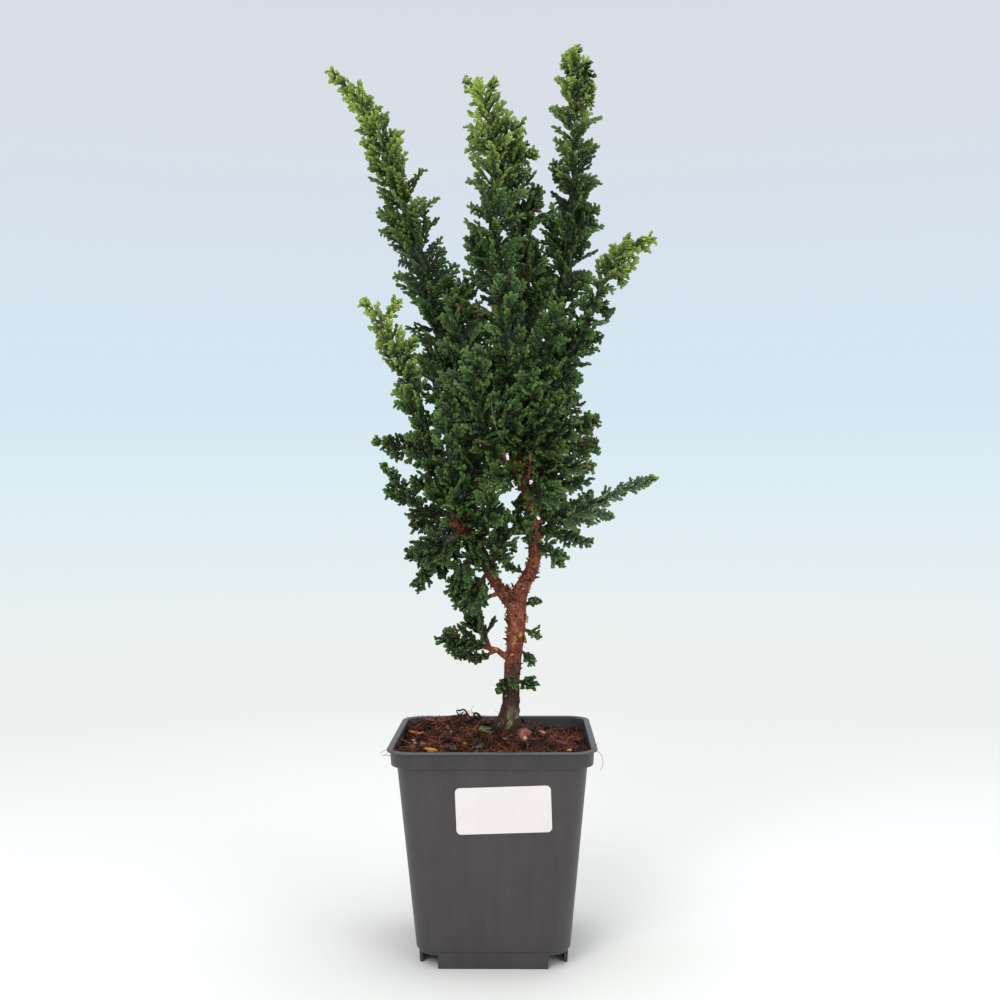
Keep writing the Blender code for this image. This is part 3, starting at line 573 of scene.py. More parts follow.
def potProfile():                   # half width, corner, z and fillet, from the inside round the foot
    p = pot
    draft = p["draft"]
    skirtIn = p["skirtHalf"] - p["skirtWall"]
    bandIn = p["bandHalf"] - p["wall"]
    inner = p["corner"] - p["wall"]
    band = p["corner"] + 1.0
    lip = p["corner"] + 1.6
    under = p["height"] - p["lipThick"]
    return [
        (skirtIn, inner, p["skirtHeight"] - p["floorThick"], 0),
        (skirtIn - draft, inner, 0, 0.2),
        (p["skirtHalf"] - draft, p["corner"], 0, 0.25),
        (p["skirtHalf"], p["corner"], p["skirtHeight"] - draft, 0.15),
        (p["bodyFootHalf"], p["corner"], p["skirtHeight"], 0.3),
        (p["bodyTopHalf"], p["corner"], p["bandHeight"] - draft, 0.5),
        (p["bandHalf"], band, p["bandHeight"], 0.5),
        (p["bandHalf"] + draft, band, under, 0.3),
        (p["lipHalf"], lip, under + 0.2, 0.25),
        (p["lipHalf"], lip, p["height"], 0.35),
        (bandIn + draft, p["corner"], p["height"], 0.35),
        (bandIn, p["corner"], p["bandHeight"] + p["wall"], 0.4),
        (p["bodyTopHalf"] - p["wall"], inner, p["bandHeight"] + draft, 0.4),
        (p["bodyFootHalf"] - p["wall"], inner, p["skirtHeight"], 0),
    ]


def footCutters():                  # for the notches at the skirt's corners and the drain holes
    p = pot
    reach = 100                     # well past the walls
    radius = p["drainRadius"] * mm
    cutters = []
    for sideX in (-1, 1):
        for sideY in (-1, 1):
            near = Vector((sideX * p["notchFrom"], sideY * p["notchFrom"], -reach))
            far = Vector((sideX * reach, sideY * reach, p["notchHeight"]))
            size = far - near
            notch = bmesh.new()
            bmesh.ops.create_cube(notch, size=mm)
            notch.transform(Matrix.Translation((near + far) / 2 * mm)
                            @ Matrix.Diagonal((abs(size.x), abs(size.y), size.z, 1)))
            drain = bmesh.new()
            bmesh.ops.create_cone(
                drain, cap_ends=True, segments=32, radius1=radius, radius2=radius,
                depth=p["drainDepth"] * mm)
            place = (sideX * p["drainOffset"], sideY * p["drainOffset"], p["skirtHeight"])
            drain.transform(Matrix.Translation([value * mm for value in place]))
            cutters.append(newObject("notch", meshFrom(notch, "notch")))
            cutters.append(newObject("drain", meshFrom(drain, "drain")))
    return cutters


def makePot(look):
    p = pot
    rings = [squareRing(half * mm, corner * mm, z * mm, p["cornerSteps"], p["sidePoints"])
             for half, z, corner in filletLine(potProfile())]
    whole = newObject("pot_cut", meshFrom(loftMesh(rings), "pot_cut", look))
    cutters = footCutters()
    for cutter in cutters:
        cut = whole.modifiers.new(cutter.name, "BOOLEAN")
        cut.operation = "DIFFERENCE"
        cut.object = cutter
    mesh = bakedMesh(whole, "nursery_pot")
    for cutter in cutters:
        bpy.data.objects.remove(cutter, do_unlink=True)
    for vertex in mesh.vertices:    # moulded walls are never quite flat
        co = vertex.co
        sway = noise.noise(Vector((co.x, co.y, co.z * 0.6)) / (p["warpSize"] * mm))
        if p["warpFrom"] * mm < co.z < p["warpTo"] * mm:
            vertex.co += Vector((co.x, co.y, 0)).normalized() * sway * p["warp"] * mm
    mesh.shade_smooth()
    mesh.set_sharp_from_angle(angle=math.radians(p["sharp"]))
    finished("nursery_pot", mesh, "pot_plastic", "pot")
    print("pot:", len(mesh.polygons), "faces")


# Label: blank, on the front wall

label = {"size": (40.5, 20.2), "thick": 0.16, "corner": 2.0, "cornerSteps": 8, "x": 4.9, "z": 69.9,
         "turn": -1.8, "off": 0.06,
         "rings": ((1.0, 0.0), (1.0, 0.7), (0.996, 1.0), (0.8, 1.0), (0.4, 1.0))}  # share, lift


def wallHalf(z):                    # half the pot's width at a height
    share = (z - pot["skirtHeight"]) / (pot["bandHeight"] - pot["skirtHeight"])
    return pot["bodyFootHalf"] + (pot["bodyTopHalf"] - pot["bodyFootHalf"]) * share


def makeLabel(look):
    s = label
    wide, high = s["size"][0] / 2, s["size"][1] / 2
    outline = []
    for quarter, (cx, cz) in enumerate(((1, 1), (-1, 1), (-1, -1), (1, -1))):
        for step in range(s["cornerSteps"] + 1):
            angle = (quarter + step / s["cornerSteps"]) * math.pi / 2
            outline.append(((wide - s["corner"]) * cx + s["corner"] * math.cos(angle),
                            (high - s["corner"]) * cz + s["corner"] * math.sin(angle)))
    shape = loftMesh([
        [Vector((x * share, -s["thick"] * lift, z * share)) for x, z in outline]
        for share, lift in s["rings"]])
    slope = math.atan2(pot["bodyTopHalf"] - pot["bodyFootHalf"],
                       pot["bandHeight"] - pot["skirtHeight"])
    place = Matrix.Translation((s["x"], -wallHalf(s["z"]) - s["off"] / math.cos(slope), s["z"]))
    turn = Matrix.Rotation(slope, 4, "X") @ Matrix.Rotation(math.radians(s["turn"]), 4, "Y")
    shape.transform(Matrix.Scale(mm, 4) @ place @ turn)
    bmesh.ops.recalc_face_normals(shape, faces=shape.faces[:])
    mesh = meshFrom(shape, "blank_label", look)
    mesh.shade_flat()
    finished("blank_label", mesh, "label_paper", "label")
    print("label:", len(mesh.polygons), "faces")


# Wood paths, millimetres: x, y, z and radius

trunkFoot = (7, 2)                  # where the trunk stands on the soil
woodPaths = {
    "trunk": [
        (7, 2, 84, 5.6), (7, 2, 97, 6.2), (7.2, 2, 102, 5.0), (7.6, 2, 110, 4.0),
        (8.1, 2, 119, 3.8), (8.8, 2, 128, 3.9), (10, 1, 137, 4.0), (10.5, 0, 146, 4.4),
        (10.5, 0, 152, 4.6)],
    "right": [
        (10.5, 0, 150, 3.9), (12.6, 0, 160, 3.6), (16.4, 0, 167, 3.1), (18.6, 0, 174, 2.9),
        (18.6, 0, 181, 2.8), (17.3, 0, 190, 2.8), (17, 0, 196, 2.9), (15.5, 0, 205, 2.8),
        (12, 1, 211, 2.8), (10, 2, 221, 2.5), (9, 3, 233, 2.1), (9, 2, 244, 1.7)],
    "left": [
        (10, 0, 152, 3.6), (5.3, -1, 157.5, 3.0), (1.8, -2, 162.5, 2.6), (-1.4, -3, 169, 2.4),
        (-4, -4, 176, 2.3), (-9, -5, 183, 2.2), (-15, -6, 189, 2.0), (-19, -4, 199, 1.8),
        (-18, 0, 212, 1.5)],
    "low": [
        (8, 1, 129, 1.7), (4.3, 0, 130.5, 1.5), (1.6, -1, 133, 1.3), (-2, -2, 133.8, 1.1)],
}

# Leafy stems, millimetres: bare length, reaches at even steps, and the path
stems = {
    "leader_left": (8, (9, 11, 12.5, 13, 12, 8, 2.3), [
        (-18, 0, 212), (-16, 4, 232), (-24, 8, 276), (-36, 10, 322), (-50, 11, 364),
        (-64, 9, 391), (-74, 7, 398)]),
    "leader_middle": (9, (10, 12, 13, 14, 14, 12, 2.2), [
        (9, 2, 244), (6, -7, 262), (3, -10, 292), (1, -11, 328), (2, -11, 362),
        (-2, -10, 380), (-11, -8, 389)]),
    "middle_back": (9, (12, 13, 12, 9, 3.5), [
        (9, 2, 244), (13, 7, 264), (13, 6, 292), (12, 4, 334), (11, 2, 364)]),
    "leader_right": (10, (10, 12, 12.5, 13, 12, 11, 8), [
        (15.5, 0, 205), (17, 12, 228), (23, 15, 255), (32, 16, 293), (37, 16, 330),
        (39, 15, 365), (38, 13, 405)]),
    "arm_right": (12, (8, 11, 11, 8, 5.5, 6.5, 2.3), [
        (10, 2, 222), (20, -8, 237), (30, -14, 258), (44, -18, 285), (55, -20, 307),
        (61, -21, 312), (69, -22, 314)]),
    "leader_low_left": (9, (9, 11, 10, 7.5, 6.5, 5.5, 2.2), [
        (-15, -6, 189), (-23, -14, 209), (-30, -19, 236), (-40, -23, 263), (-47, -26, 281),
        (-55, -27, 287)]),
    "left_inner": (9, (9, 11, 10, 8, 4), [
        (-19, -4, 199), (-8, -11, 214), (-9, -14, 238), (-12, -13, 268), (-15, -10, 288)]),
    "left_front": (9, (8, 9.5, 8, 4), [
        (-9, -5, 183), (-13, -20, 199), (-18, -29, 220), (-18, -33, 247)]),
    "side_left": (7, (8, 9, 6, 2.6), [
        (-18, 0, 212), (-31, 0, 223), (-41, 0, 226), (-53, 0, 228)]),
    "side_left_low": (7, (7, 7, 6, 4.6, 2.3), [
        (-15, -6, 189), (-26, -8, 191), (-36, -10, 200), (-43, -11, 209), (-48, -12, 216)]),
    "skirt_outer": (7, (9, 11, 7), [(-9, -5, 183), (-20, -2, 185), (-28, -2, 181), (-36, -2, 176)]),
    "skirt_left": (7, (8, 11, 6), [(-9, -5, 183), (-19, -12, 180), (-26, -14, 172), (-33, -15, 164)]),
    "skirt_front": (7, (9, 12, 7), [(-4, -4, 176), (-11, -14, 177), (-14, -18, 169), (-16, -20, 162)]),
    "skirt_right": (6, (8, 10, 6), [(-1.4, -3, 169), (-4, -9, 167), (-7, -13, 163), (-10, -15, 157)]),
    "skirt_under": (6, (3.5, 5, 3.2), [(4, -1.3, 159), (-1, -5, 158), (-7, -7, 155), (-13, -8, 154)]),
    "limb_front": (7, (9, 12, 8), [(-4, -4, 176), (-6, -13, 182), (-2, -18, 192), (0, -20, 201)]),
    "skirt_heart": (8, (9, 12, 8), [(-9, -5, 183), (-13, -17, 187), (-20, -22, 183), (-26, -24, 178)]),
    "limb_inner": (7, (9, 12, 8), [(-1.4, -3, 169), (-1, -12, 174), (1, -15, 183), (2, -16, 192)]),
    "limb_right": (5, (5, 7.5, 5), [(-1.4, -3, 169), (0, 3, 176), (3, 5, 181), (6, 5, 185)]),
    "limb_back": (9, (8, 9, 5), [(-9, -5, 183), (-11, 8, 187), (-20, 18, 192), (-29, 23, 197)]),
    "limb_side": (6, (8, 10, 6), [(-19, -4, 199), (-26, 2, 204), (-36, 4, 209)]),
    "low_spray": (3, (6, 11, 10, 5), [(-2, -2, 133.8), (-10, -6, 137), (-22, -8, 138)]),
    "low_spray_up": (5, (8, 10, 6), [(-2, -2, 133.8), (-4, -5, 139), (-9, -6, 147)]),
    "low_spray_down": (5, (6, 9, 6), [(1.6, -1, 133), (-3, -6, 131), (-10, -9, 131), (-17, -11, 134)]),
    "right_front": (9, (8, 10, 9, 4.5), [(12, 1, 211), (20, -15, 222), (30, -25, 232), (44, -31, 234)]),
    "right_middle": (9, (7, 8.5, 6.5, 3.5), [(12, 1, 211), (23, -13, 216), (34, -19, 217), (43, -23, 215)]),
    "right_top": (12, (8, 9.5, 5), [(10, 2, 221), (18, -20, 232), (26, -30, 241), (35, -35, 245)]),
    "right_low": (8, (6, 6.5, 3.5), [(15.5, 0, 205), (25, -8, 208), (34, -12, 208), (41, -14, 209)]),
    "right_back": (10, (8, 9, 4.5), [(10, 2, 221), (24, 9, 224), (37, 12, 226), (46, 14, 226)]),
    "heart_left": (8, (8, 10, 7), [(12, 1, 211), (9, -13, 213), (2, -20, 211)]),
    "heart_right": (8, (8, 10, 6), [(15.5, 0, 205), (20, -14, 206), (26, -20, 203)]),
    "heart_up": (9, (7, 10, 6), [(10, 2, 221), (8, -13, 227), (8, -25, 234), (6, -33, 243)]),
    "heart_high": (10, (7, 10, 6), [(9, 3, 233), (16, -14, 236), (18, -28, 242), (17, -36, 251)]),
    "spur_right": (6, (6, 9, 8, 6, 4.2, 3.8, 2.4), [
        (17.3, 0, 190), (25, -2, 192), (33, -5, 194), (42, -8, 198), (60, -11, 206),
        (72, -11, 210)]),
    "spur_low": (6, (6, 7, 4), [(17.3, 0, 190), (25, 6, 187), (34, 6, 185), (43, 6, 181)]),
    "spur_down": (5, (6, 8, 5), [(18.6, 0, 181), (25, -6, 180), (31, -8, 174)]),
    "spur_back": (8, (7, 8, 4.5), [(17, 0, 196), (27, 9, 196), (41, 12, 195), (53, 14, 193)]),
    "fork_shoot": (4, (2.5, 4, 2.5), [(16.4, 0, 167), (11, -2, 167), (6, -2, 172)]),
    "shoot_top": (5.2, (4, 4.5, 3), [(10.5, 0, 152), (16, -1, 154), (20, -1, 155)]),
    "shoot_upper": (4.8, (4.5, 5, 3), [(10.2, 0, 143), (15.5, -1, 143), (20, -3, 140)]),
    "shoot_middle": (4.8, (3.5, 4.5, 3), [(9.5, 1, 134), (14, -1, 133), (17.5, -3, 128)]),
    "shoot_low": (4.8, (4.5, 6, 4), [(8, 2, 119), (13, -2, 119), (18, -4, 118)]),
    "shoot_left": (5.2, (4, 5, 4), [(8, 2, 122), (4, -3, 121), (2, -5, 115)]),
    "rear_left": (12, (10, 12, 11, 5), [
        (10, 2, 221), (4, 17, 227), (-2, 24, 246), (-8, 30, 272), (-10, 32, 294)]),
    "rear_middle": (11, (11, 12, 12, 6), [
        (9, 3, 233), (12, 17, 242), (14, 27, 262), (18, 32, 287), (20, 33, 310)]),
    "rear_right": (10, (10, 12, 11, 5), [
        (15.5, 0, 205), (22, 14, 213), (30, 24, 234), (34, 31, 257), (35, 33, 279)]),
    "rear_limb": (9, (9, 11, 10, 5), [
        (-18, 0, 212), (-17, 14, 222), (-22, 21, 238), (-28, 25, 256), (-31, 27, 272)]),
    "rear_low_left": (11, (7, 10, 6), [(-19, -4, 199), (-9, 15, 204), (-9, 27, 212), (-14, 37, 224)]),
    "rear_low_right": (10, (7, 9, 5), [(17, 0, 196), (19, 12, 198), (23, 22, 201), (30, 34, 207)]),
    "rear_outer": (14, (9, 11, 6), [(10, 2, 221), (8, 22, 226), (6, 35, 245), (3, 41, 271)]),
    "front_left": (12, (8, 11, 10, 5), [
        (11, 1.5, 216), (3, -15, 219), (-4, -28, 232), (-6, -35, 248), (-6, -38, 263)]),
    "front_middle": (11, (8, 11, 11, 10, 5), [
        (9, 3, 233), (9, -14, 239), (9, -26, 254), (8, -32, 275), (7, -33, 294)]),
    "front_right": (13, (8, 10, 9, 4.5), [
        (9, 3, 239), (18, -14, 250), (23, -24, 262), (27, -27, 275), (29, -27, 287)]),
}

settling = {"step": 4.0, "rounds": 80, "room": 1.0, "clear": 0.35, "stemPush": 0.22,
            "woodPush": 0.4, "largest": 1.2, "pull": 0.06, "even": 0.3, "twig": 1.3,
            "coreShare": 0.33, "core": (0.9, 4.4)}


def lengthsAlong(path):
    steps = np.linalg.norm(np.diff(path[:, :3], axis=0), axis=1)
    return np.concatenate([[0], np.cumsum(steps)])


def smoothPath(points, step):
    rows = [np.array(p, float) for p in points]
    rows = [2 * rows[0] - rows[1]] + rows + [2 * rows[-1] - rows[-2]]
    fine = []
    for a, b, c, d in zip(rows, rows[1:], rows[2:], rows[3:]):
        for t in np.linspace(0, 1, 24, endpoint=False):
            fine.append(0.5 * (2 * b + (c - a) * t + (2 * a - 5 * b + 4 * c - d) * t ** 2
                               + (3 * b - a - 3 * c + d) * t ** 3))
    fine.append(rows[-2])
    return evenSteps(np.array(fine), step)


def evenSteps(path, step):
    along = lengthsAlong(path)
    stations = np.linspace(0, along[-1], max(2, round(along[-1] / step) + 1))
    return np.column_stack([np.interp(stations, along, column) for column in path.T])


def reachAt(reaches, share):
    return float(np.interp(share, np.linspace(0, 1, len(reaches)), reaches))


def settledPaths():                 # the stems pushed clear of each other, as in the solids
    s = settling
    wood = np.vstack([smoothPath(points, s["step"]) for points in woodPaths.values()])
    paths = {name: smoothPath(row[2], s["step"]) for name, row in stems.items()}
    start = {name: path.copy() for name, path in paths.items()}
    radii = {}
    for name, path in paths.items():
        bare, reaches, _ = stems[name]
        along = lengthsAlong(path)
        share = np.clip((along - bare) / (along[-1] - bare), 0, 1)
        leafy = np.array([np.clip(reachAt(reaches, t) * s["coreShare"], *s["core"]) for t in share])
        radii[name] = np.where(along < bare, s["twig"], leafy + s["room"])
    owner = np.concatenate([np.full(len(path), i) for i, path in enumerate(paths.values())])
    radius = np.concatenate([radii[name] for name in paths])
    barePoint = radius <= s["twig"]
    for _ in range(s["rounds"]):
        crowd = np.vstack(list(paths.values()))
        away = crowd[:, None, :] - crowd[None, :, :]
        distance = np.linalg.norm(away, axis=2) + 1e-6
        need = radius[:, None] + radius[None, :] + 2 * s["clear"]
        close = (distance < need) & (owner[:, None] != owner[None, :])
        close &= ~(barePoint[:, None] & barePoint[None, :])
        weight = np.where(close, (need - distance) / distance, 0)
        push = s["stemPush"] * (away * weight[:, :, None]).sum(axis=1)
        away = crowd[:, None, :] - wood[None, :, :3]
        distance = np.linalg.norm(away, axis=2) + 1e-6
        need = radius[:, None] + wood[None, :, 3] + 2 * s["clear"]
        close = (distance < need) & ~barePoint[:, None]
        weight = np.where(close, (need - distance) / distance, 0)
        push += s["woodPush"] * (away * weight[:, :, None]).sum(axis=1)
        size = np.linalg.norm(push, axis=1, keepdims=True)
        push *= np.minimum(1, s["largest"] / (size + 1e-9))
        first = 0
        for name, path in paths.items():
            move = push[first:first + len(path)]
            move += s["pull"] * (start[name] - path)
            move[1:-1] += s["even"] * ((path[:-2] + path[2:]) / 2 - path[1:-1])
            move[0] = 0
            path += move
            first += len(path)
    return paths


def stationAt(path, along, at):     # place and direction at a length along a path
    here = np.array([np.interp(at, along, path[:, k]) for k in range(3)])
    low, high = max(0, at - 2), min(along[-1], at + 2)
    ahead = np.array([np.interp(high, along, path[:, k]) - np.interp(low, along, path[:, k])
                      for k in range(3)])
    return Vector(here), Vector(ahead).normalized()


# Branchlets: the small scale-covered fingers that all the foliage is made of

branchlet = {
    "rings": ((0.00, 0.26, 0.26), (0.30, 0.50, 0.32), (0.55, 0.31, 0.48), (0.85, 0.44, 0.30)),
    "bends": ((0.0, 0.0), (0.45, 0.1), (-0.45, 0.1), (0.0, 0.5), (0.2, -0.4)),
    "plain": ((0.00, 0.30, 0.30), (0.45, 0.46, 0.40), (0.88, 0.38, 0.34)),
}


def makeBranchlets():
    shapes = []
    rows = [(branchlet["rings"], bend) for bend in branchlet["bends"]]
    rows.append((branchlet["plain"], (0.0, 0.0)))
    for k, (rings, (bendX, bendY)) in enumerate(rows):
        loops = []
        for z, wide, thick in rings:
            middle = Vector((bendX * z * z, bendY * z * z, z))
            loops.append([middle + Vector(p) for p in (
                (wide, 0, 0), (0, thick, 0), (-wide, 0, 0), (0, -thick, 0))])
        shape = loftMesh(loops, (bendX, bendY, 1))
        strip = shape.loops.layers.uv.new("strip")
        for face in shape.faces:
            for corner in face.loops:
                co = corner.vert.co
                corner[strip].uv = (0.5 + co.x * 0.5, co.z)
        shapes.append(unseen(f"branchlet_{k}", shape))
    return collect("branchlets", shapes)


class Grower(Graph):                # a geometry tree, with named inputs
    def __init__(self, name, rows):
        super().__init__(bpy.data.node_groups.new(name, "GeometryNodeTree"))
        self.inputs = {}
        for key, kind, usual in rows:
            socket = self.tree.interface.new_socket(
                key, in_out="INPUT", socket_type="NodeSocket" + kind)
            if usual is not None:
                socket.default_value = usual
            self.inputs[key] = socket.identifier
        entry = self.tree.nodes.new("NodeGroupInput")
        self.wires = {key: Wire(self, pickSocket(entry.outputs, key)) for key in self.inputs}

    def read(self, name, kind="FLOAT"):
        return self.node("GeometryNodeInputNamedAttribute", {"data_type": kind}, {"Name": name})

    def coat(self, geometry, look):
        return self.node(
            "GeometryNodeSetMaterial", {}, {"Geometry": geometry, "Material": self.wires[look]})

    def turned(self, ahead, across):
        return self.node(
            "FunctionNodeAxesToRotation", {"primary_axis": "Z", "secondary_axis": "X"},
            {"Primary Axis": ahead, "Secondary Axis": across})

    def placed(self, points, which, turn, size, look):      # a shape on each point, made real
        shapes = self.node("GeometryNodeCollectionInfo", {"transform_space": "ORIGINAL"}, {
            "Collection": self.wires["Shapes"], "Separate Children": True, "Reset Children": True})
        made = self.node("GeometryNodeInstanceOnPoints", {}, {
            "Points": points, "Instance": shapes, "Pick Instance": True,
            "Instance Index": which, "Rotation": turn, "Scale": size})
        made = self.node("GeometryNodeRealizeInstances", {}, {"Geometry": made})
        return self.coat(made, look)

    def finish(self, geometry):
        self.tree.interface.new_socket(
            "Grown", in_out="OUTPUT", socket_type="NodeSocketGeometry")
        self.join(geometry, self.tree.nodes.new("NodeGroupOutput").inputs[0])
        return self

    def grow(self, mesh, name, values):     # what the tree makes of a mesh, as a plain mesh
        holder = newObject(name + "_points", mesh)
        grown = holder.modifiers.new("grow", "NODES")
        grown.node_group = self.tree
        for key, value in values.items():
            grown[self.inputs[key]] = value
        return bakedMesh(holder, name)


def foliageTree():
    tree = Grower("leafyStem", (
        ("Points", "Geometry", None), ("Shapes", "Collection", None), ("Leaf", "Material", None),
        ("Axis", "Material", None), ("Sides", "Int", 10), ("Rough", "Float", 1.7),
        ("Grain", "Float", 1.6 * mm)))
    wires = tree.wires
    lines = tree.node("GeometryNodeSeparateGeometry", {"domain": "POINT"}, {
        "Geometry": wires["Points"], "Selection": tree.read("axis", "BOOLEAN")})
    loose = Wire(tree, lines.socket.node.outputs["Inverted"])
    ring = tree.node("GeometryNodeCurvePrimitiveCircle", {"mode": "RADIUS"}, {
        "Resolution": wires["Sides"], "Radius": 1.0})
    tube = tree.node("GeometryNodeCurveToMesh", {}, {
        "Curve": tree.node("GeometryNodeMeshToCurve", {}, {"Mesh": lines}),
        "Profile Curve": ring, "Fill Caps": True, "Scale": tree.read("thick")})
    bump = tree.node("ShaderNodeTexNoise", {}, {
        "Vector": tree.node("GeometryNodeInputPosition"), "Scale": 1 / wires["Grain"],
        "Detail": 2.0})
    out = tree.shade((bump - 0.5) * wires["Rough"] * tree.read("thick"),
                     tree.node("GeometryNodeInputNormal"))
    tube = tree.node("GeometryNodeSetPosition", {}, {"Geometry": tube, "Offset": out})
    sprays = tree.placed(
        loose, tree.read("kind", "INT"),
        tree.turned(tree.read("aim", "FLOAT_VECTOR"), tree.read("across", "FLOAT_VECTOR")),
        tree.read("size", "FLOAT_VECTOR"), "Leaf")
    whole = tree.node("GeometryNodeJoinGeometry", {}, {
        "Geometry": [tree.coat(tube, "Axis"), sprays]})
    for name in ("aim", "across", "size", "kind", "axis", "thick"):
        whole = tree.node("GeometryNodeRemoveAttribute", {}, {"Geometry": whole, "Name": name})
    return tree.finish(whole)


def pointMesh(name, columns, edges):        # points that carry what the foliage tree reads
    mesh = bpy.data.meshes.new(name)
    mesh.from_pydata([tuple(p) for p in columns["place"]], edges, [])
    kinds = {"aim": "FLOAT_VECTOR", "across": "FLOAT_VECTOR", "size": "FLOAT_VECTOR",
             "kind": "INT", "axis": "BOOLEAN"}
    for key, values in columns.items():
        if key == "place":
            continue
        kind = kinds.get(key, "FLOAT")
        attribute = mesh.attributes.new(key, kind, "POINT")
        field = "vector" if kind == "FLOAT_VECTOR" else "value"
        attribute.data.foreach_set(field, np.array(values).ravel())
    return mesh


# Foliage

foliage = {
    "gap": (0.600, 0.068), "rearGap": 1.17, "rearFrom": 20,     # between sprays: fixed, share of the reach
    "gapShare": (0.8, 1.2), "turnShare": 0.35,
    "lean": (34, 70), "tipLean": (20, 50), "tipLength": 16, "reach": (0.80, 1.10), "aside": 0.75,
    "wide": (1.90, 2.34), "thick": 0.8, "longest": 4.2, "shortest": 2.2, "side": 1.35,
    "finger": 0.42, "overlap": 0.72, "broad": (0.88, 1.0), "long": (0.86, 1.1),
    "fan": (36, 56), "roll": 0.8, "curve": (-0.22, 0.3), "cup": (-0.2, 0.2), "droop": 0.12,
    "curl": 0.25, "axis": (1.0, 0.5), "axisStep": 1.7, "core": 0.18, "coreShortest": 5.0,
    "forkReach": 8.5, "forkBelow": 0.55, "fork": (-0.9, -0.6),
    "thin": 0.30, "thinLength": 55, "toneStep": 0.12, "footLength": 14, "greenLength": 120,
    "plainBelow": 0.36, "beyond": 2.0 * mm,
    "coverGap": 1.3, "coverLean": (12, 42), "coverLong": (2.8, 4.0), "coverWide": (1.8, 2.3),
    "tipLeaves": 3, "tipLong": (2.8, 4.0), "tipWide": 2.1,
    "fresh": (4.0, 0.2),            # length and strength of the yellow-green at the end
}
freshEnds = {
    "leader_left": (150, 1.0), "leader_middle": (118, 1.0), "leader_right": (106, 0.84),
    "arm_right": (70, 0.95), "leader_low_left": (92, 1.0), "side_left": (22, 0.6),
    "side_left_low": (14, 0.5), "spur_right": (16, 0.6), "middle_back": (60, 0.4),
    "left_inner": (26, 0.3), "rear_left": (28, 0.4), "rear_middle": (34, 0.45),
    "rear_right": (28, 0.4), "rear_limb": (26, 0.4), "rear_outer": (20, 0.35),
}
spread = {                          # fuller or slimmer than the solids, at foot and tip
    "leader_left": (1.14, 1.26), "leader_middle": (1.16, 0.94), "middle_back": (1.10, 1.30),
    "leader_right": (1.15, 1.08), "arm_right": (1.00, 1.40), "leader_low_left": (1.02, 1.26),
    "left_inner": (1.15, 1.60), "skirt_outer": (0.90, 0.72), "skirt_left": (0.85, 0.62),
    "skirt_front": (0.84, 0.62), "low_spray": (0.86, 0.72), "low_spray_down": (0.46, 0.36),
    "low_spray_up": (0.95, 0.95),
    "shoot_top": (0.85, 0.60), "shoot_upper": (0.85, 0.60), "shoot_middle": (1.00, 0.62),
    "shoot_low": (0.80, 0.56), "shoot_left": (0.70, 0.45), "spur_low": (0.85, 0.80),
    "spur_down": (0.88, 0.80), "spur_back": (0.90, 0.85), "right_top": (0.85, 0.72),
    "right_front": (1.00, 0.88), "limb_side": (0.75, 0.52),
    "limb_back": (0.85, 0.62), "limb_inner": (0.85, 0.80), "limb_front": (0.95, 0.88),
    "limb_right": (0.80, 0.70), "right_middle": (1.00, 0.90),
}
clearings = (                       # x, z, radius seen from the front: light shows through here
    (-27.6, 241.8, 2.1), (-27.0, 234.1, 2.1), (-23.1, 229.7, 2.2), (-21.6, 225.1, 2.1),
    (-23.1, 239.5, 1.8), (-19.4, 219.1, 1.8), (-30.6, 244.1, 1.8), (-32.6, 204.1, 2.1),
    (-29.5, 199.1, 1.7),
    (6.9, 198.6, 2.2), (7.8, 189.5, 2.2), (6.9, 178.2, 2.0), (40.8, 402.7, 1.3))
thinPlaces = ((-15.5, 187.5, 3.5), (-12, 181, 1.6))     # x, z, radius: the limb shows through here
thinFront = -7                      # and only leaves in front of this y are left out for it
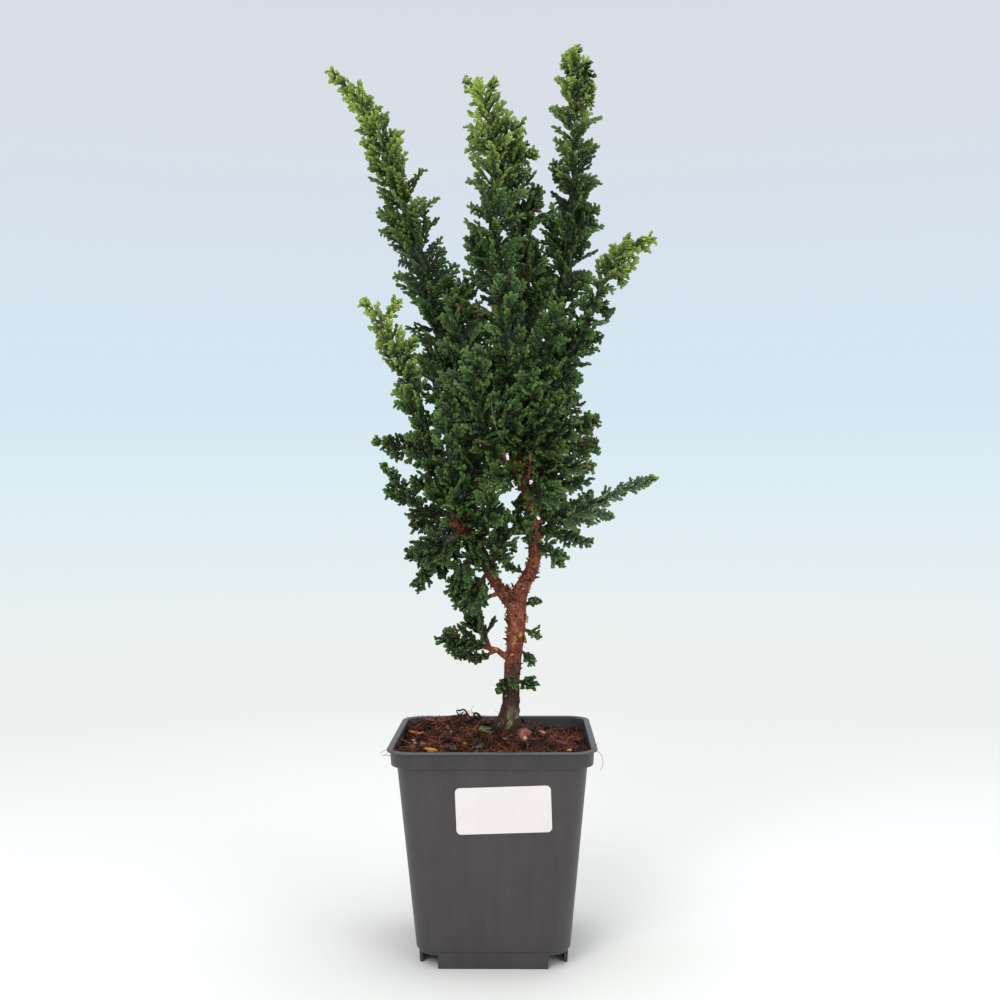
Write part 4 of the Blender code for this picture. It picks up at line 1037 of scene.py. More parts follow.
sideTwigs = {                       # small twigs of a stem: bare length, reaches, points
    "spur_down": ((1.5, (5, 7, 4), [(19, -4, 184), (14, -8, 187), (9.5, -9, 188.5), (6, -9, 187)]),),
    "heart_left": ((1.0, (4.5, 5.5, 3.5), [(13, -5, 204), (12, -7, 198), (11, -7, 191)]),),
    "heart_right": ((0.5, (3.5, 4.5, 3), [(17, -4, 196), (16, -6.5, 193), (14, -7, 189.5)]),),
    "limb_front": ((0.8, (5, 6.5, 4.5), [(-4, -8, 178), (-7, -11, 177), (-11, -12, 179)]),),
    "skirt_right": ((0.8, (4, 5, 4), [(-3, -7, 168), (-4.5, -9.5, 171), (-7, -11, 174)]),),
    "leader_right": ((1.0, (3.2, 4.2, 4.2, 2.4), [(38.8, 12, 386), (41, 11, 398), (43, 10.6, 402),
                                                  (44.6, 10.4, 395), (46, 11, 383)]),
                     (0.5, (2.4, 3, 2), [(38.4, 13, 402), (39.4, 13, 407), (40, 13, 411)]),
                     (0.5, (3, 3.6, 2.4), [(37.5, 13, 395), (35.4, 13, 402), (34.6, 13, 406)]),
                     (1.0, (6, 7, 5), [(34, 16, 308), (28.5, 15, 321), (26, 14, 331)]),
                     (1.0, (5.4, 6.4, 5.4), [(38, 15, 343), (33.5, 15, 349), (30.5, 15, 355)]),
                     (1.0, (5.6, 6.6, 5.6), [(37, 16, 322), (41.5, 15, 329), (44.5, 15, 336)])),
    "leader_middle": ((0.8, (2.2, 3, 1.8), [(-2, -10, 379), (0, -10, 384), (1.6, -10, 388)]),
                      (0.8, (2.6, 3.2, 2.2), [(0, -11, 358), (-5, -11, 361), (-9, -10, 362)]),
                      (1.0, (6, 7.5, 5.5), [(2, -11, 352), (7, -10, 361), (11.5, -9, 367)]),
                      (1.0, (6, 7.5, 6, 3), [(3, -11, 340), (9, -10, 350), (14, -9, 355),
                                             (19, -8, 356)]),
                      (1.0, (7, 8, 6, 3.5), [(2, -11, 300), (-4, -11, 308), (-9, -11, 316)])),
    "left_inner": ((1.0, (7, 8, 6, 3.5), [(-14, -11, 282), (-14, -9, 290), (-12, -8, 298)]),),
    "leader_left": ((1.0, (7, 8, 7), [(-25, 8, 276), (-21, 7, 286), (-19, 6, 298)]),
                    (1.0, (5, 6, 4), [(-35, 10, 318), (-41, 9, 320), (-46, 8, 325)]),
                    (1.0, (5, 6, 5), [(-38, 10, 323), (-45, 9, 328), (-49, 9, 333)]),
                    (1.0, (4.6, 5.4, 4.2), [(-46, 11, 349), (-51, 10, 354), (-54.5, 10, 359)])),
    "middle_back": ((1.0, (7, 8, 6, 4), [(14, 6, 300), (18, 6, 308), (20, 5, 316)]),
                    (1.0, (6, 7, 5), [(13, 6, 288), (20, 5, 293), (25, 3, 299)]),
                    (1.0, (7, 8, 6, 4), [(13, 5, 322), (18, 4, 332), (20, 3, 342)])),
    "arm_right": ((0.8, (3.5, 4.2, 3), [(53, -20, 304), (56, -20, 300), (57.5, -20, 296)]),
                  (0.8, (3.5, 4.5, 3.5), [(44, -18, 285), (48, -18, 285), (51, -18, 283)]),
                  (0.8, (3.5, 4.5, 3.5), [(38, -16, 272), (43, -16, 273), (46, -16, 272)])),
    "leader_low_left": ((0.8, (3.5, 4.2, 3), [(-47, -26, 279), (-43, -25, 283), (-41, -25, 287)]),
                        (0.8, (4, 4.6, 3.5), [(-40, -23, 262), (-36.5, -22, 266), (-34, -22, 270)])),
    "side_left_low": ((0.8, (3, 3.6, 2.6), [(-38, -10, 202), (-42.5, -10, 203), (-46, -10, 205)]),
                      (0.8, (3.5, 4.5, 3), [(-26, -8, 191), (-31, -9, 190), (-35, -9, 190)])),
    "shoot_left": ((0.3, (2.4, 3, 2.2), [(5.5, -2.6, 121), (7.6, -4.4, 120), (9.6, -5, 117.5)]),),
}


class Cloud:                        # points for one leafy stem, with what the tree needs of each
    usual = {"place": None, "aim": up, "across": Vector((1, 0, 0)), "size": (0, 0, 0), "kind": 0,
             "axis": False, "thick": 0.0, "tone": 0.5, "outer": 0.0, "fresh": 0.0, "age": 0.5}

    def __init__(self):
        self.columns = {key: [] for key in self.usual}
        self.edges = []

    def add(self, **row):
        for key, values in self.columns.items():
            values.append(row.get(key, self.usual[key]))

    def branchlet(self, rng, place, aim, across, length, wide, tone, outer, fresh, age,
                  plain=False):
        for x, z, radius in thinPlaces:
            if place.y < thinFront and math.hypot(place.x - x, place.z - z) < radius:
                return
        tip = (place + aim * length) * mm
        for k in range(3):
            if not cadBox[0][k] - foliage["beyond"] < tip[k] < cadBox[1][k] + foliage["beyond"]:
                return
        middle = place + aim * length * 0.5
        eye = Vector(camera["place"])
        seen = eye + (middle - eye) * (eye.y / (eye.y - middle.y))
        for x, z, radius in clearings:
            if math.hypot(seen.x - x, seen.z - z) < radius:
                return
        if tone < 0.96:             # above it are the few dead sprays
            tone = min(0.96, max(0.0, tone + rng.uniform(-1, 1) * foliage["toneStep"]))
        kinds = len(branchlet["bends"])
        self.add(place=place * mm, aim=aim, across=(across - aim * across.dot(aim)).normalized(),
                 size=(wide * mm, wide * foliage["thick"] * mm, length * mm),
                 kind=kinds if plain else rng.randrange(kinds),
                 tone=tone, outer=outer, fresh=fresh, age=age)


def addSpray(cloud, rng, place, ahead, outward, lean, reach, inner, fresh, age):
    f = foliage
    tone = rng.random()
    axis = outward * math.sin(lean) + ahead * math.cos(lean) - up * f["droop"] * age
    axis.normalize()
    aside = max(math.sin(lean), f["aside"])
    length = reach * rng.uniform(*f["reach"]) / aside
    start = min(inner * 0.75 / aside, length * 0.5)
    normal = axis.cross(ahead)
    if normal.length < 0.1:
        normal = axis.orthogonal()
    normal = Matrix.Rotation(rng.gauss(0, f["roll"]), 3, axis) @ normal.normalized()
    across = normal.cross(axis)
    bow = across * rng.uniform(*f["curve"]) + normal * rng.uniform(*f["cup"])
    finger = min(max(length * f["finger"], f["shortest"]), f["longest"])
    wide = rng.uniform(*f["wide"]) * min(1, 0.66 + length / 20)

    def lineAt(t):
        return place + (axis * t + bow * t * t) * length

    def aimAt(t):
        return (axis + bow * 2 * t).normalized()

    def leaf(root, aim, long, broad, outer, plain=False):
        cloud.branchlet(rng, root, aim, across, long, broad, tone, outer, fresh, age, plain)

    at = start
    while at < length - finger:         # the spray's own axis, in overlapping lengths
        t = at / length
        leaf(lineAt(t), aimAt(t), finger * 1.1, wide * 0.9, t * 0.7, plain=True)
        at += finger * f["overlap"]
    last = max(0.0, 1 - finger / length)
    leaf(lineAt(last), aimAt(last), finger, wide, 0.95)
    side = rng.choice((-1, 1))
    at = start + rng.uniform(0, 0.8)
    while at < length - finger * 0.5:
        t = at / length
        fan = math.radians(rng.uniform(*f["fan"])) * side
        aim = Matrix.Rotation(fan, 3, normal) @ aimAt(t)
        aim = (aim + normal * rng.uniform(-f["curl"], f["curl"])).normalized()
        long = finger * (1.18 - 0.5 * t) * rng.uniform(*f["long"])
        broad = wide * rng.uniform(*f["broad"])
        leaf(lineAt(t), aim, long, broad, 0.35 + 0.5 * t, plain=t < f["plainBelow"])
        if length > f["forkReach"] and t < f["forkBelow"]:      # the lower ones branch once more
            fork = Matrix.Rotation(side * rng.uniform(*f["fork"]), 3, normal) @ aim
            leaf(lineAt(t) + aim * long * 0.55, fork, long * 0.8, broad * 0.95, 0.55 + 0.4 * t)
        side = -side
        at += f["side"] * rng.uniform(*f["gapShare"])


class Stem:                         # one leafy line, in millimetres
    def __init__(self, path, bare, reaches, fresh, strength, early=0.0, wider=(1.0, 1.0)):
        self.open = foliage["rearGap"] if path[-1][1] > foliage["rearFrom"] else 1.0
        self.wider = wider
        self.path = path
        self.along = lengthsAlong(path)
        self.total = self.along[-1]
        self.bare = max(bare - early, 0.5)
        self.reaches = reaches
        self.fresh = fresh
        self.strength = strength
        leafy = self.total - self.bare
        self.clear = max(foliage["coreShortest"], min(fresh * 0.4, leafy * 0.3))
        if leafy < 20:
            self.clear = min(self.clear, leafy * 0.3)

    def station(self, at):
        return stationAt(self.path, self.along, at)

    def reach(self, at):
        share = min(max((at - self.bare) / (self.total - self.bare), 0), 1)
        return reachAt(self.reaches, share) * (self.wider[0] * (1 - share) + self.wider[1] * share)

    def core(self, at):             # its rough core, which ends before the growing tip
        end = min(max((self.total - at - self.clear * 0.4) / (self.clear * 1.6), 0), 1)
        foot = min(max((at - self.bare + 4) / 8, 0), 1)
        return self.reach(at) * foliage["core"] * end * end * (3 - 2 * end) * foot

    def freshAt(self, rng, at):
        ripe = max(0.0, 1 - (self.total - at) / self.fresh) ** 1.25
        return min(1.0, ripe * self.strength * rng.uniform(0.65, 1.25))


def addAxis(cloud, rng, stem):
    f = foliage
    count = max(4, round((stem.total - stem.bare + 3) / f["axisStep"]))
    first = len(cloud.columns["place"])
    for k, at in enumerate(np.linspace(max(0, stem.bare - 2.5), stem.total - 0.8, count)):
        place, _ = stem.station(at)
        thick = f["axis"][0] + (f["axis"][1] - f["axis"][0]) * k / (count - 1)
        thick = max(thick * min(1, 0.45 + stem.reach(at) / 14), stem.core(at))
        age = max(1 - stem.strength, min(1.0, (stem.total - at) / (stem.fresh * 1.3 + 6)))
        foot = max(0.0, 1 - max(0.0, at - stem.bare) / f["footLength"])
        cloud.add(place=place * mm, axis=True, thick=thick * mm, age=age, tone=rng.random(), outer=foot)
        if k:
            cloud.edges.append((first + k - 1, first + k))


def outwardAt(ahead, turn):         # square to the stem, turned round it
    side = ahead.cross(Vector((0.3, 1, 0.2))).normalized()
    return Matrix.Rotation(turn, 3, ahead) @ side


def addCover(cloud, rng, stem):     # short branchlets laid along the core, which hide it
    f = foliage
    turn = rng.uniform(0, math.tau)
    at = stem.bare
    while at < stem.total - stem.clear * 0.6:
        place, ahead = stem.station(at)
        turn += goldenTurn + rng.uniform(-0.5, 0.5)
        outward = outwardAt(ahead, turn)
        lean = math.radians(rng.uniform(*f["coverLean"]))
        aim = outward * math.sin(lean) + ahead * math.cos(lean)
        across = Matrix.Rotation(rng.uniform(-0.9, 0.9), 3, aim) @ ahead.cross(outward)
        cloud.branchlet(rng, place + outward * stem.core(at) * 0.8, aim, across,
                        rng.uniform(*f["coverLong"]), rng.uniform(*f["coverWide"]), rng.random(),
                        rng.uniform(0.3, 0.6), stem.freshAt(rng, at), 0.5, plain=True)
        at += f["coverGap"] * rng.uniform(*f["gapShare"])


def growStem(cloud, rng, stem):
    f = foliage
    addAxis(cloud, rng, stem)
    addCover(cloud, rng, stem)
    turn = rng.uniform(0, math.tau)
    at = stem.bare + 0.3
    while at < stem.total:
        left = stem.total - at
        place, ahead = stem.station(at)
        turn += goldenTurn + rng.uniform(-f["turnShare"], f["turnShare"])
        nearTip = max(0.0, 1 - left / f["tipLength"])
        lean = rng.uniform(*f["lean"]) * (1 - nearTip) + rng.uniform(*f["tipLean"]) * nearTip
        reach = stem.reach(at)
        addSpray(cloud, rng, place, ahead, outwardAt(ahead, turn), math.radians(lean), reach,
                 stem.core(at), stem.freshAt(rng, at), min(1.0, left / f["greenLength"]))
        step = (f["gap"][0] + f["gap"][1] * reach) * stem.open
        if stem.fresh > f["thinLength"]:    # young ends are more open
            step *= 1 + f["thin"] * max(0.0, 1 - left / f["thinLength"])
        at += step * rng.uniform(*f["gapShare"])
    place, ahead = stem.station(stem.total - 2)
    for _ in range(f["tipLeaves"]):     # the growing tip
        aim = (ahead + Vector([rng.uniform(-0.35, 0.35) for _ in range(3)])).normalized()
        cloud.branchlet(rng, place, aim, ahead.orthogonal(), rng.uniform(*f["tipLong"]),
                        f["tipWide"], rng.random(), 1.0, stem.strength, 0.0)


earlyLeaves = {                     # how much nearer the wood these stems' leaves begin
    "spur_down": 2.5, "spur_low": 3.0, "spur_back": 3.0, "limb_right": 1.5,
    "heart_right": 2.0, "right_low": 2.5, "limb_inner": 2.0, "shoot_top": 1.0}


def planStem(name, path):
    rng = random.Random(name)
    bare, reaches, _ = stems[name]
    fresh, strength = freshEnds.get(name, foliage["fresh"])
    cloud = Cloud()
    growStem(cloud, rng, Stem(path, bare, reaches, fresh, strength, earlyLeaves.get(name, 0),
                              spread.get(name, (1.0, 1.0))))
    for bareTwig, reachesTwig, points in sideTwigs.get(name, ()):
        below = (path[-1][2] - points[-1][2]) / fresh       # low twigs are as green as their stem
        ripe = strength * min(0.9, max(0.12, 1 - below * 1.5))
        growStem(cloud, rng, Stem(smoothPath(points, 2.0), bareTwig, reachesTwig,
                                  max(fresh * 0.4, 6), ripe))
    return cloud


def makeFoliage(paths, leafLook, shootLook):
    shapes = makeBranchlets()
    tree = foliageTree()
    total = 0
    for name, path in paths.items():
        cloud = planStem(name, path)
        mesh = tree.grow(
            pointMesh(name, cloud.columns, cloud.edges), name + "_sprays",
            {"Shapes": shapes, "Leaf": leafLook, "Axis": shootLook})
        finished(name + "_sprays", mesh, "leaves", name)
        total += trianglesIn(mesh)
    print("foliage:", total, "triangles on", len(paths), "stems")


# Bark

bark = {
    "voxel": 0.58, "strand": 0.12, "lump": 0.13, "soilLine": 112, "flakesFrom": 140,
    "roots": 6, "rootNear": 2.5, "rootFar": (6, 9), "rootTop": 103, "rootDrop": 7.5,
    "rootThick": (1.7, 0.8),        # what tapers off, and what stays
    "stubs": (0.24, 4, 0.35, 0.55, 1.15),       # on a square millimetre, seed, tilt, sizes
    "flakes": (0.13, 12, 0.5, 0.5, 1.0),
    "stubShapes": ((1.5, 0.2), (2.1, -0.35), (1.1, 0.4), (1.8, 0.1)),               # long, bend
    "flakeShapes": ((2.2, 1.0, 0.5), (3.0, 1.2, 0.9), (1.6, 0.9, 0.3)),             # long, wide, curl
    "curls": (                      # place, size and turns of the loose orange curls of bark
        (17.0, -2.9, 196.5, 3.0, 1.2, 2.4, 0, 0, 0), (15.2, -1.5, 146.6, 1.3, 1.2, 3.2, 0, 12, 0),
        (14.3, -0.6, 137.6, 1.4, 1.2, 4.0, 0, -10, 0), (19.6, -1.6, 173.6, 1.5, 1.2, 3.4, 0, 8, 0),
        (12.4, -3.6, 140.2, 1.2, 0.9, 2.4, 0, 30, 0),
        (8.2, -3.6, 131.0, 1.6, 0.8, 1.2, 0, -25, 0)),
    "spines": (                     # dry spiny twigs: points of the twig, and how many spines
        ([(10.2, -2.6, 155), (8.2, -4.0, 159), (6.2, -4.4, 162.5)], 16),
        ([(10.8, -2.8, 155.5), (10.6, -4.4, 160), (11.8, -4.8, 163.5)], 12),
        ([(9.0, -3.0, 154), (6.8, -4.2, 156.5), (5.0, -4.6, 159.5)], 10),
        ([(17.6, -2.4, 181), (19.8, -4.0, 183.5), (22.4, -4.6, 184.4)], 8),
        ([(15.5, -2, 206), (16.4, -20, 212), (16.9, -35, 219.5)], 26),
        ([(12, -3, 211), (7.4, -20, 216), (5.6, -33, 221)], 20)),
    "paleTwig": [(6, -20, 226, 0.26), (3.4, -36, 229, 0.2), (1.2, -41, 237, 0.15), (0.4, -42, 246, 0.1)],
    "spine": (1.5, 2.6, 0.34, 0.06), "spineTwig": 0.45,     # shortest, longest, radius at foot and tip
}


def rootLines():                    # the root flare, which runs down into the soil
    rng = random.Random(31)
    near, top, drop = bark["rootNear"], bark["rootTop"], bark["rootDrop"]
    taper, thin = bark["rootThick"]
    lines = []
    for k in range(bark["roots"]):
        angle = k * math.tau / bark["roots"] + rng.uniform(-0.4, 0.4)
        out = Vector((math.cos(angle), math.sin(angle)))
        far = rng.uniform(*bark["rootFar"])
        line = []
        for t in np.linspace(0, 1, 7):
            away = near + (far - near) * t
            line.append((trunkFoot[0] + out.x * away, trunkFoot[1] + out.y * away,
                         top - drop * t ** 0.7, taper * (1 - t) + thin))
        lines.append(line)
    return lines


def makeStub(name, size, bend):     # a dead stub, as a bent spike with three sides
    rings = [
        [Vector((r * math.cos(a) + bend * z * z, r * math.sin(a), z)) * size * mm
         for a in (0.3, 2.4, 4.5)]
        for z, r in ((-0.15, 0.42), (0.35, 0.26), (0.75, 0.13))]
    return unseen(name, loftMesh(rings, Vector((bend, 0, 1)) * size * mm))


def makeFlake(name, long, wide, curl):      # a thin scale of bark that curls away
    thick = 0.16
    rows = []
    for t in (0, 0.35, 0.7, 1):
        half = wide / 2 * (1 - 0.6 * abs(t - 0.45) * 2 * 0.7)
        lift = 0.1 + curl * t * t
        rows.append([Vector((side * half, long * (t - 0.1), lift + thick * top)) * mm
                     for side, top in ((-1, 0), (1, 0), (1, 1), (-1, 1))])
    shape = loftMesh(rows)
    bmesh.ops.recalc_face_normals(shape, faces=shape.faces[:])
    return unseen(name, shape)


def scatterTree(name, upward):      # shapes strewn over a mesh, by a density attribute
    tree = Grower(name, (
        ("Ground", "Geometry", None), ("Shapes", "Collection", None), ("Density", "Float", 1.0),
        ("Seed", "Int", 1), ("Smallest", "Float", 0.7), ("Largest", "Float", 1.3),
        ("Tilt", "Float", 0.4), ("Material", "Material", None)))
    wires = tree.wires
    seed = wires["Seed"]

    def drawn(kind, low, high, step, suffix=""):        # a random value on each point
        return tree.node("FunctionNodeRandomValue", {"data_type": kind}, {
            "Min" + suffix: low, "Max" + suffix: high, "Seed": seed + step}, "Value" + suffix)

    def arrow(step):
        return drawn("FLOAT_VECTOR", (-1, -1, -1), (1, 1, 1), step)

    def added(a, b):
        return tree.node("ShaderNodeVectorMath", {"operation": "ADD"}, {0: a, 1: b})

    spots = tree.node("GeometryNodeDistributePointsOnFaces", {"distribute_method": "RANDOM"}, {
        "Mesh": wires["Ground"], "Seed": seed, "Density": wires["Density"] * tree.read("density")})
    normal = Wire(tree, spots.socket.node.outputs["Normal"])
    lifted = added(added(normal, upward), tree.shade(wires["Tilt"], arrow(7)))
    size = drawn("FLOAT", wires["Smallest"], wires["Largest"], 5, "_001")
    which = drawn("INT", 0, 30, 9, "_002")      # any shape of the collection
    return tree.finish(tree.placed(spots, which, tree.turned(lifted, arrow(3)), size, "Material"))


def strew(tree, ground, name, shapes, values, look):
    density, seed, tilt, smallest, largest = values     # the density on a square millimetre
    return tree.grow(ground.copy(), name, {
        "Shapes": shapes, "Density": density / mm ** 2, "Seed": seed, "Tilt": tilt,
        "Smallest": smallest, "Largest": largest, "Material": look})


def setDensity(mesh, shares):
    attribute = mesh.attributes.new("density", "FLOAT", "POINT")
    attribute.data.foreach_set("value", shares)


def makeSpines(look):               # dry twigs with spines, and one pale bare twig
    rng = random.Random(19)
    shortest, longest, radius, tip = bark["spine"]
    shapes = []
    lines = []
    for points, count in bark["spines"]:
        path = smoothPath([(*p, bark["spineTwig"]) for p in points], 0.8)
        lines.append(path)
        along = lengthsAlong(path)
        for k in range(count):
            place, ahead = stationAt(path[:, :3], along, along[-1] * (k + 1) / count)
            turn = Matrix.Rotation(k * 2.4 + rng.uniform(-0.4, 0.4), 3, ahead)
            aim = (turn @ ahead.orthogonal() + ahead * rng.uniform(0.3, 1.0)).normalized()
            long = rng.uniform(shortest, longest)
            shape = bmesh.new()
            bmesh.ops.create_cone(
                shape, cap_ends=True, segments=4, radius1=radius, radius2=tip, depth=long)
            turned = up.rotation_difference(aim).to_matrix().to_4x4()
            shape.transform(Matrix.Scale(mm, 4) @ Matrix.Translation(place + aim * long * 0.45)
                            @ turned)
            shapes.append(shape)
    paleLook = makeFlakeLook("pale_twig", (0.07, 0.08, 0.06), (0.17, 0.18, 0.16))
    return [gather("bark_spines", shapes, look),
            tubeMesh("spine_twigs", lines, 1, look),
            tubeMesh("pale_twig", [smoothPath(bark["paleTwig"], 1.0)], 3, paleLook)]


def woodLines(paths):               # trunk, limbs, the bare foot of every stem, and roots
    lines = [smoothPath(points, 1.5) for points in woodPaths.values()]
    for name, path in paths.items():
        end = stems[name][0] + 1
        along = lengthsAlong(path)
        thin = 0.7 if "shoot" in name else 1.0
        line = []
        for at in np.linspace(0, end, 8):
            place, _ = stationAt(path, along, at)
            line.append((*place, (1.3 - 0.4 * at / end) * thin))
        lines.append(line)
    return lines + rootLines()


def barkSkin(lines):                # one skin over all the wood
    skin = newObject("wood_skin", tubeMesh("wood_tubes", lines))
    remesh = skin.modifiers.new("skin", "REMESH")
    remesh.mode = "VOXEL"
    remesh.voxel_size = bark["voxel"] * mm
    relax = skin.modifiers.new("relax", "SMOOTH")
    relax.factor = 0.5
    relax.iterations = 3
    return bakedMesh(skin, "bark")


def roughen(mesh, lines):           # strands and lumps; gives how many flakes each point gets
    rows = [row for line in lines for row in line]
    tree = kdtree.KDTree(len(rows))
    for k, row in enumerate(rows):
        tree.insert(Vector(row[:3]) * mm, k)
    tree.balance()
    shares = []
    for vertex, normal in zip(mesh.vertices, [v.normal.copy() for v in mesh.vertices]):
        co = vertex.co
        radius = rows[tree.find(co)[1]][3]
        long = Vector((co.x / 1.1, co.y / 1.1, co.z / 4.5)) / mm
        strand = noise.noise(long) + 0.5 * noise.noise(long * 2.3)
        lump = noise.noise(co / (3.2 * mm))
        high = co.z / mm
        knobbly = 1 + 1.6 * max(0.0, min(1.0, (bark["soilLine"] - high) / 8))
        move = (strand * bark["strand"] + lump * bark["lump"] * knobbly) * min(radius, 4.5)
        vertex.co += normal * move * mm
        bare = radius < 1.6 or high < bark["soilLine"]
        shares.append(0.0 if bare else 1.0 if high > bark["flakesFrom"] else 0.35)
    return shares


def makeBark(paths, barkLook, stubLook, flakeLook):
    lines = woodLines(paths)
    mesh = barkSkin(lines)
    shares = roughen(mesh, lines)
    mesh.shade_smooth()
    mesh.materials.append(barkLook)
    setDensity(mesh, shares)
    tree = scatterTree("strewOnBark", (0, 0, 0.35))
    stubs = collect("stubs", [
        makeStub(f"stub_{k}", *row) for k, row in enumerate(bark["stubShapes"])])
    flakes = collect("flakes", [
        makeFlake(f"flake_{k}", *row) for k, row in enumerate(bark["flakeShapes"])])
    stubMesh = strew(tree, mesh, "bark_stubs", stubs, bark["stubs"], stubLook)
    everywhere = [0.0 if share == 0 else 1.0 for share in shares]
    mesh.attributes["density"].data.foreach_set("value", everywhere)
    flakeMesh = strew(tree, mesh, "bark_flakes", flakes, bark["flakes"], flakeLook)
    curls = gather("bark_curls", [makeLump(row[:3], row[3:6], row[6:], 0.5, 3.1 * k)
                                  for k, row in enumerate(bark["curls"])],
                   makeFlakeLook("bark_curl", (0.34, 0.15, 0.04), (0.62, 0.40, 0.15)))
    joined = joinMeshes("bark_and_twigs", [mesh, stubMesh, flakeMesh, curls, *makeSpines(stubLook)])
    finished("bark_and_twigs", joined, "bark", "wood")
    print("bark:", trianglesIn(joined), "triangles")


# Soil

soil = {"rings": 56, "cornerSteps": 14, "sidePoints": 30, "rim": 91.8, "frontRise": 2.2,
        "wallDrop": 1.2, "mound": 5.4, "fall": 2.1, "lump": 2.0, "wallGap": 0.3, "topGap": 0.1,
        "floorGap": 0.3, "shoulder": 0.4, "band": 1.5,
        "lumps": ((7.0, 0.9), (3.1, 0.9), (1.3, 0.6)),      # size and share of the unevenness
        "heaps": ((-16, 27, 15, 4.2), (-36, 30, 9, 2.0), (29, 24, 15, -3.4), (-28, -6, 10, -1.6),
                  (27, -24, 10, 1.6), (-30, -30, 9, 1.2), (2, -30, 8, -0.8)),
}


def soilHeight(x, y, share):        # share is 0 at the trunk and 1 at the wall
    front = max(0.0, -y / pot["bandHalf"])
    high = soil["rim"] + (soil["frontRise"] * front - soil["wallDrop"]) * share
    high += soil["mound"] * math.exp(-(share * soil["fall"]) ** 2)
    for cx, cy, wide, rise in soil["heaps"]:
        high += rise * math.exp(-((x - cx) ** 2 + (y - cy) ** 2) / wide ** 2)
    for size, part in soil["lumps"]:
        high += noise.noise(Vector((x, y, 3.7)) / size) * soil["lump"] * part
    return high


def makeSoil(look):
    s = soil
    inner = pot["corner"] - pot["wall"]

    def ringAt(half, corner, z, gap):
        return squareRing(half - pot["wall"] - gap, corner, z, s["cornerSteps"], s["sidePoints"])

    edge = ringAt(pot["bandHalf"], pot["corner"], 0, s["topGap"])
    lower = [ringAt(pot[half], corner, z, s["wallGap"]) for half, corner, z in (
        ("bodyFootHalf", inner, pot["skirtHeight"] + s["floorGap"]),
        ("bodyTopHalf", inner, pot["bandHeight"] + s["shoulder"]),
        ("bandHalf", pot["corner"], pot["bandHeight"] + s["band"]))]
    foot = Vector(trunkFoot)
    top = []
    for k in range(s["rings"]):
        share = 1 - k / s["rings"]
        ring = []
        for p in edge:
            flat = foot.lerp(p.to_2d(), share)
            ring.append(Vector((flat.x, flat.y, soilHeight(flat.x, flat.y, share))))
        top.append(ring)
    mesh = meshFrom(loftMesh([[p * mm for p in ring] for ring in lower + top]), "soil_fill", look)
    mesh.shade_smooth()
    finished("soil_fill", mesh, "potting_soil", "soil")
    print("soil:", len(mesh.polygons), "faces")
    firstOnTop = len(edge) * (len(lower) + 3)       # past the sides and the rings next to the wall
    return mesh, firstOnTop


# Litter on the soil: coir fibres, bark chips and grit

scraps = {                          # kinds of each, and their sizes
    "fibres": 9, "fibreLong": (3.5, 10), "fibreThick": (0.06, 0.13), "wave": 1.4,
    "chips": 8, "chipSize": ((1.6, 4.2), (1.0, 2.2), (0.6, 1.2)),
    "reach": 38, "footClear": 7, "patch": 7.5, "patchy": 2.6,
}
litter = {                          # look, dark, light; shape, on a square millimetre, seed, tilt, sizes
    "red_fibres": ("coir_fibre", (0.085, 0.022, 0.012), (0.400, 0.140, 0.080),
                   "fibres", 0.165, 3, 0.9, 0.5, 1.2),
    "dark_fibres": ("dark_fibre", (0.018, 0.010, 0.008), (0.06, 0.028, 0.018),
                    "fibres", 0.050, 8, 0.6, 0.6, 1.1),
    "pale_fibres": ("pale_fibre", (0.26, 0.15, 0.09), (0.55, 0.40, 0.29),
                    "fibres", 0.009, 14, 0.8, 0.4, 0.9),
    "bark_chips": ("bark_chip", (0.014, 0.007, 0.005), (0.075, 0.026, 0.015),
                   "chips", 0.100, 21, 0.8, 0.5, 1.4),
    "orange_chips": ("orange_chip", (0.32, 0.13, 0.035), (0.50, 0.27, 0.10),
                     "chips", 0.0045, 33, 0.6, 0.5, 0.95),
    "pale_grit": ("pale_grit", (0.30, 0.23, 0.17), (0.55, 0.45, 0.36),
                  "chips", 0.0040, 41, 0.6, 0.3, 0.6),
    "moss_bits": ("moss_bit", (0.05, 0.07, 0.03), (0.12, 0.17, 0.07),
                  "chips", 0.0035, 52, 0.6, 0.4, 0.8),
}


def makeFibre(name, long, wave, thick, rng):
    points = []
    steps = 5
    place = Vector((0, 0, 0.2))
    heading = Vector((1, 0, rng.uniform(0.0, 0.35)))
    for k in range(steps + 1):
        points.append((*place, thick * (1 - 0.5 * abs(k - steps / 2) / steps)))
        heading = Matrix.Rotation(rng.uniform(-wave, wave), 3, "Z") @ heading
        heading.z = max(-0.12, min(0.5, heading.z + rng.uniform(-0.3, 0.25)))
        place = place + heading.normalized() * long / steps
    return newObject(name, tubeMesh(name, [points], 0), False)


def makeChip(name, size, rng):
    shape = bmesh.new()
    bmesh.ops.create_icosphere(shape, subdivisions=1, radius=1)
    for vertex in shape.verts:
        vertex.co *= rng.uniform(0.7, 1.15)
        vertex.co = Vector((vertex.co.x * size[0], vertex.co.y * size[1], vertex.co.z * size[2]))
        vertex.co *= mm / 2
    return unseen(name, shape)


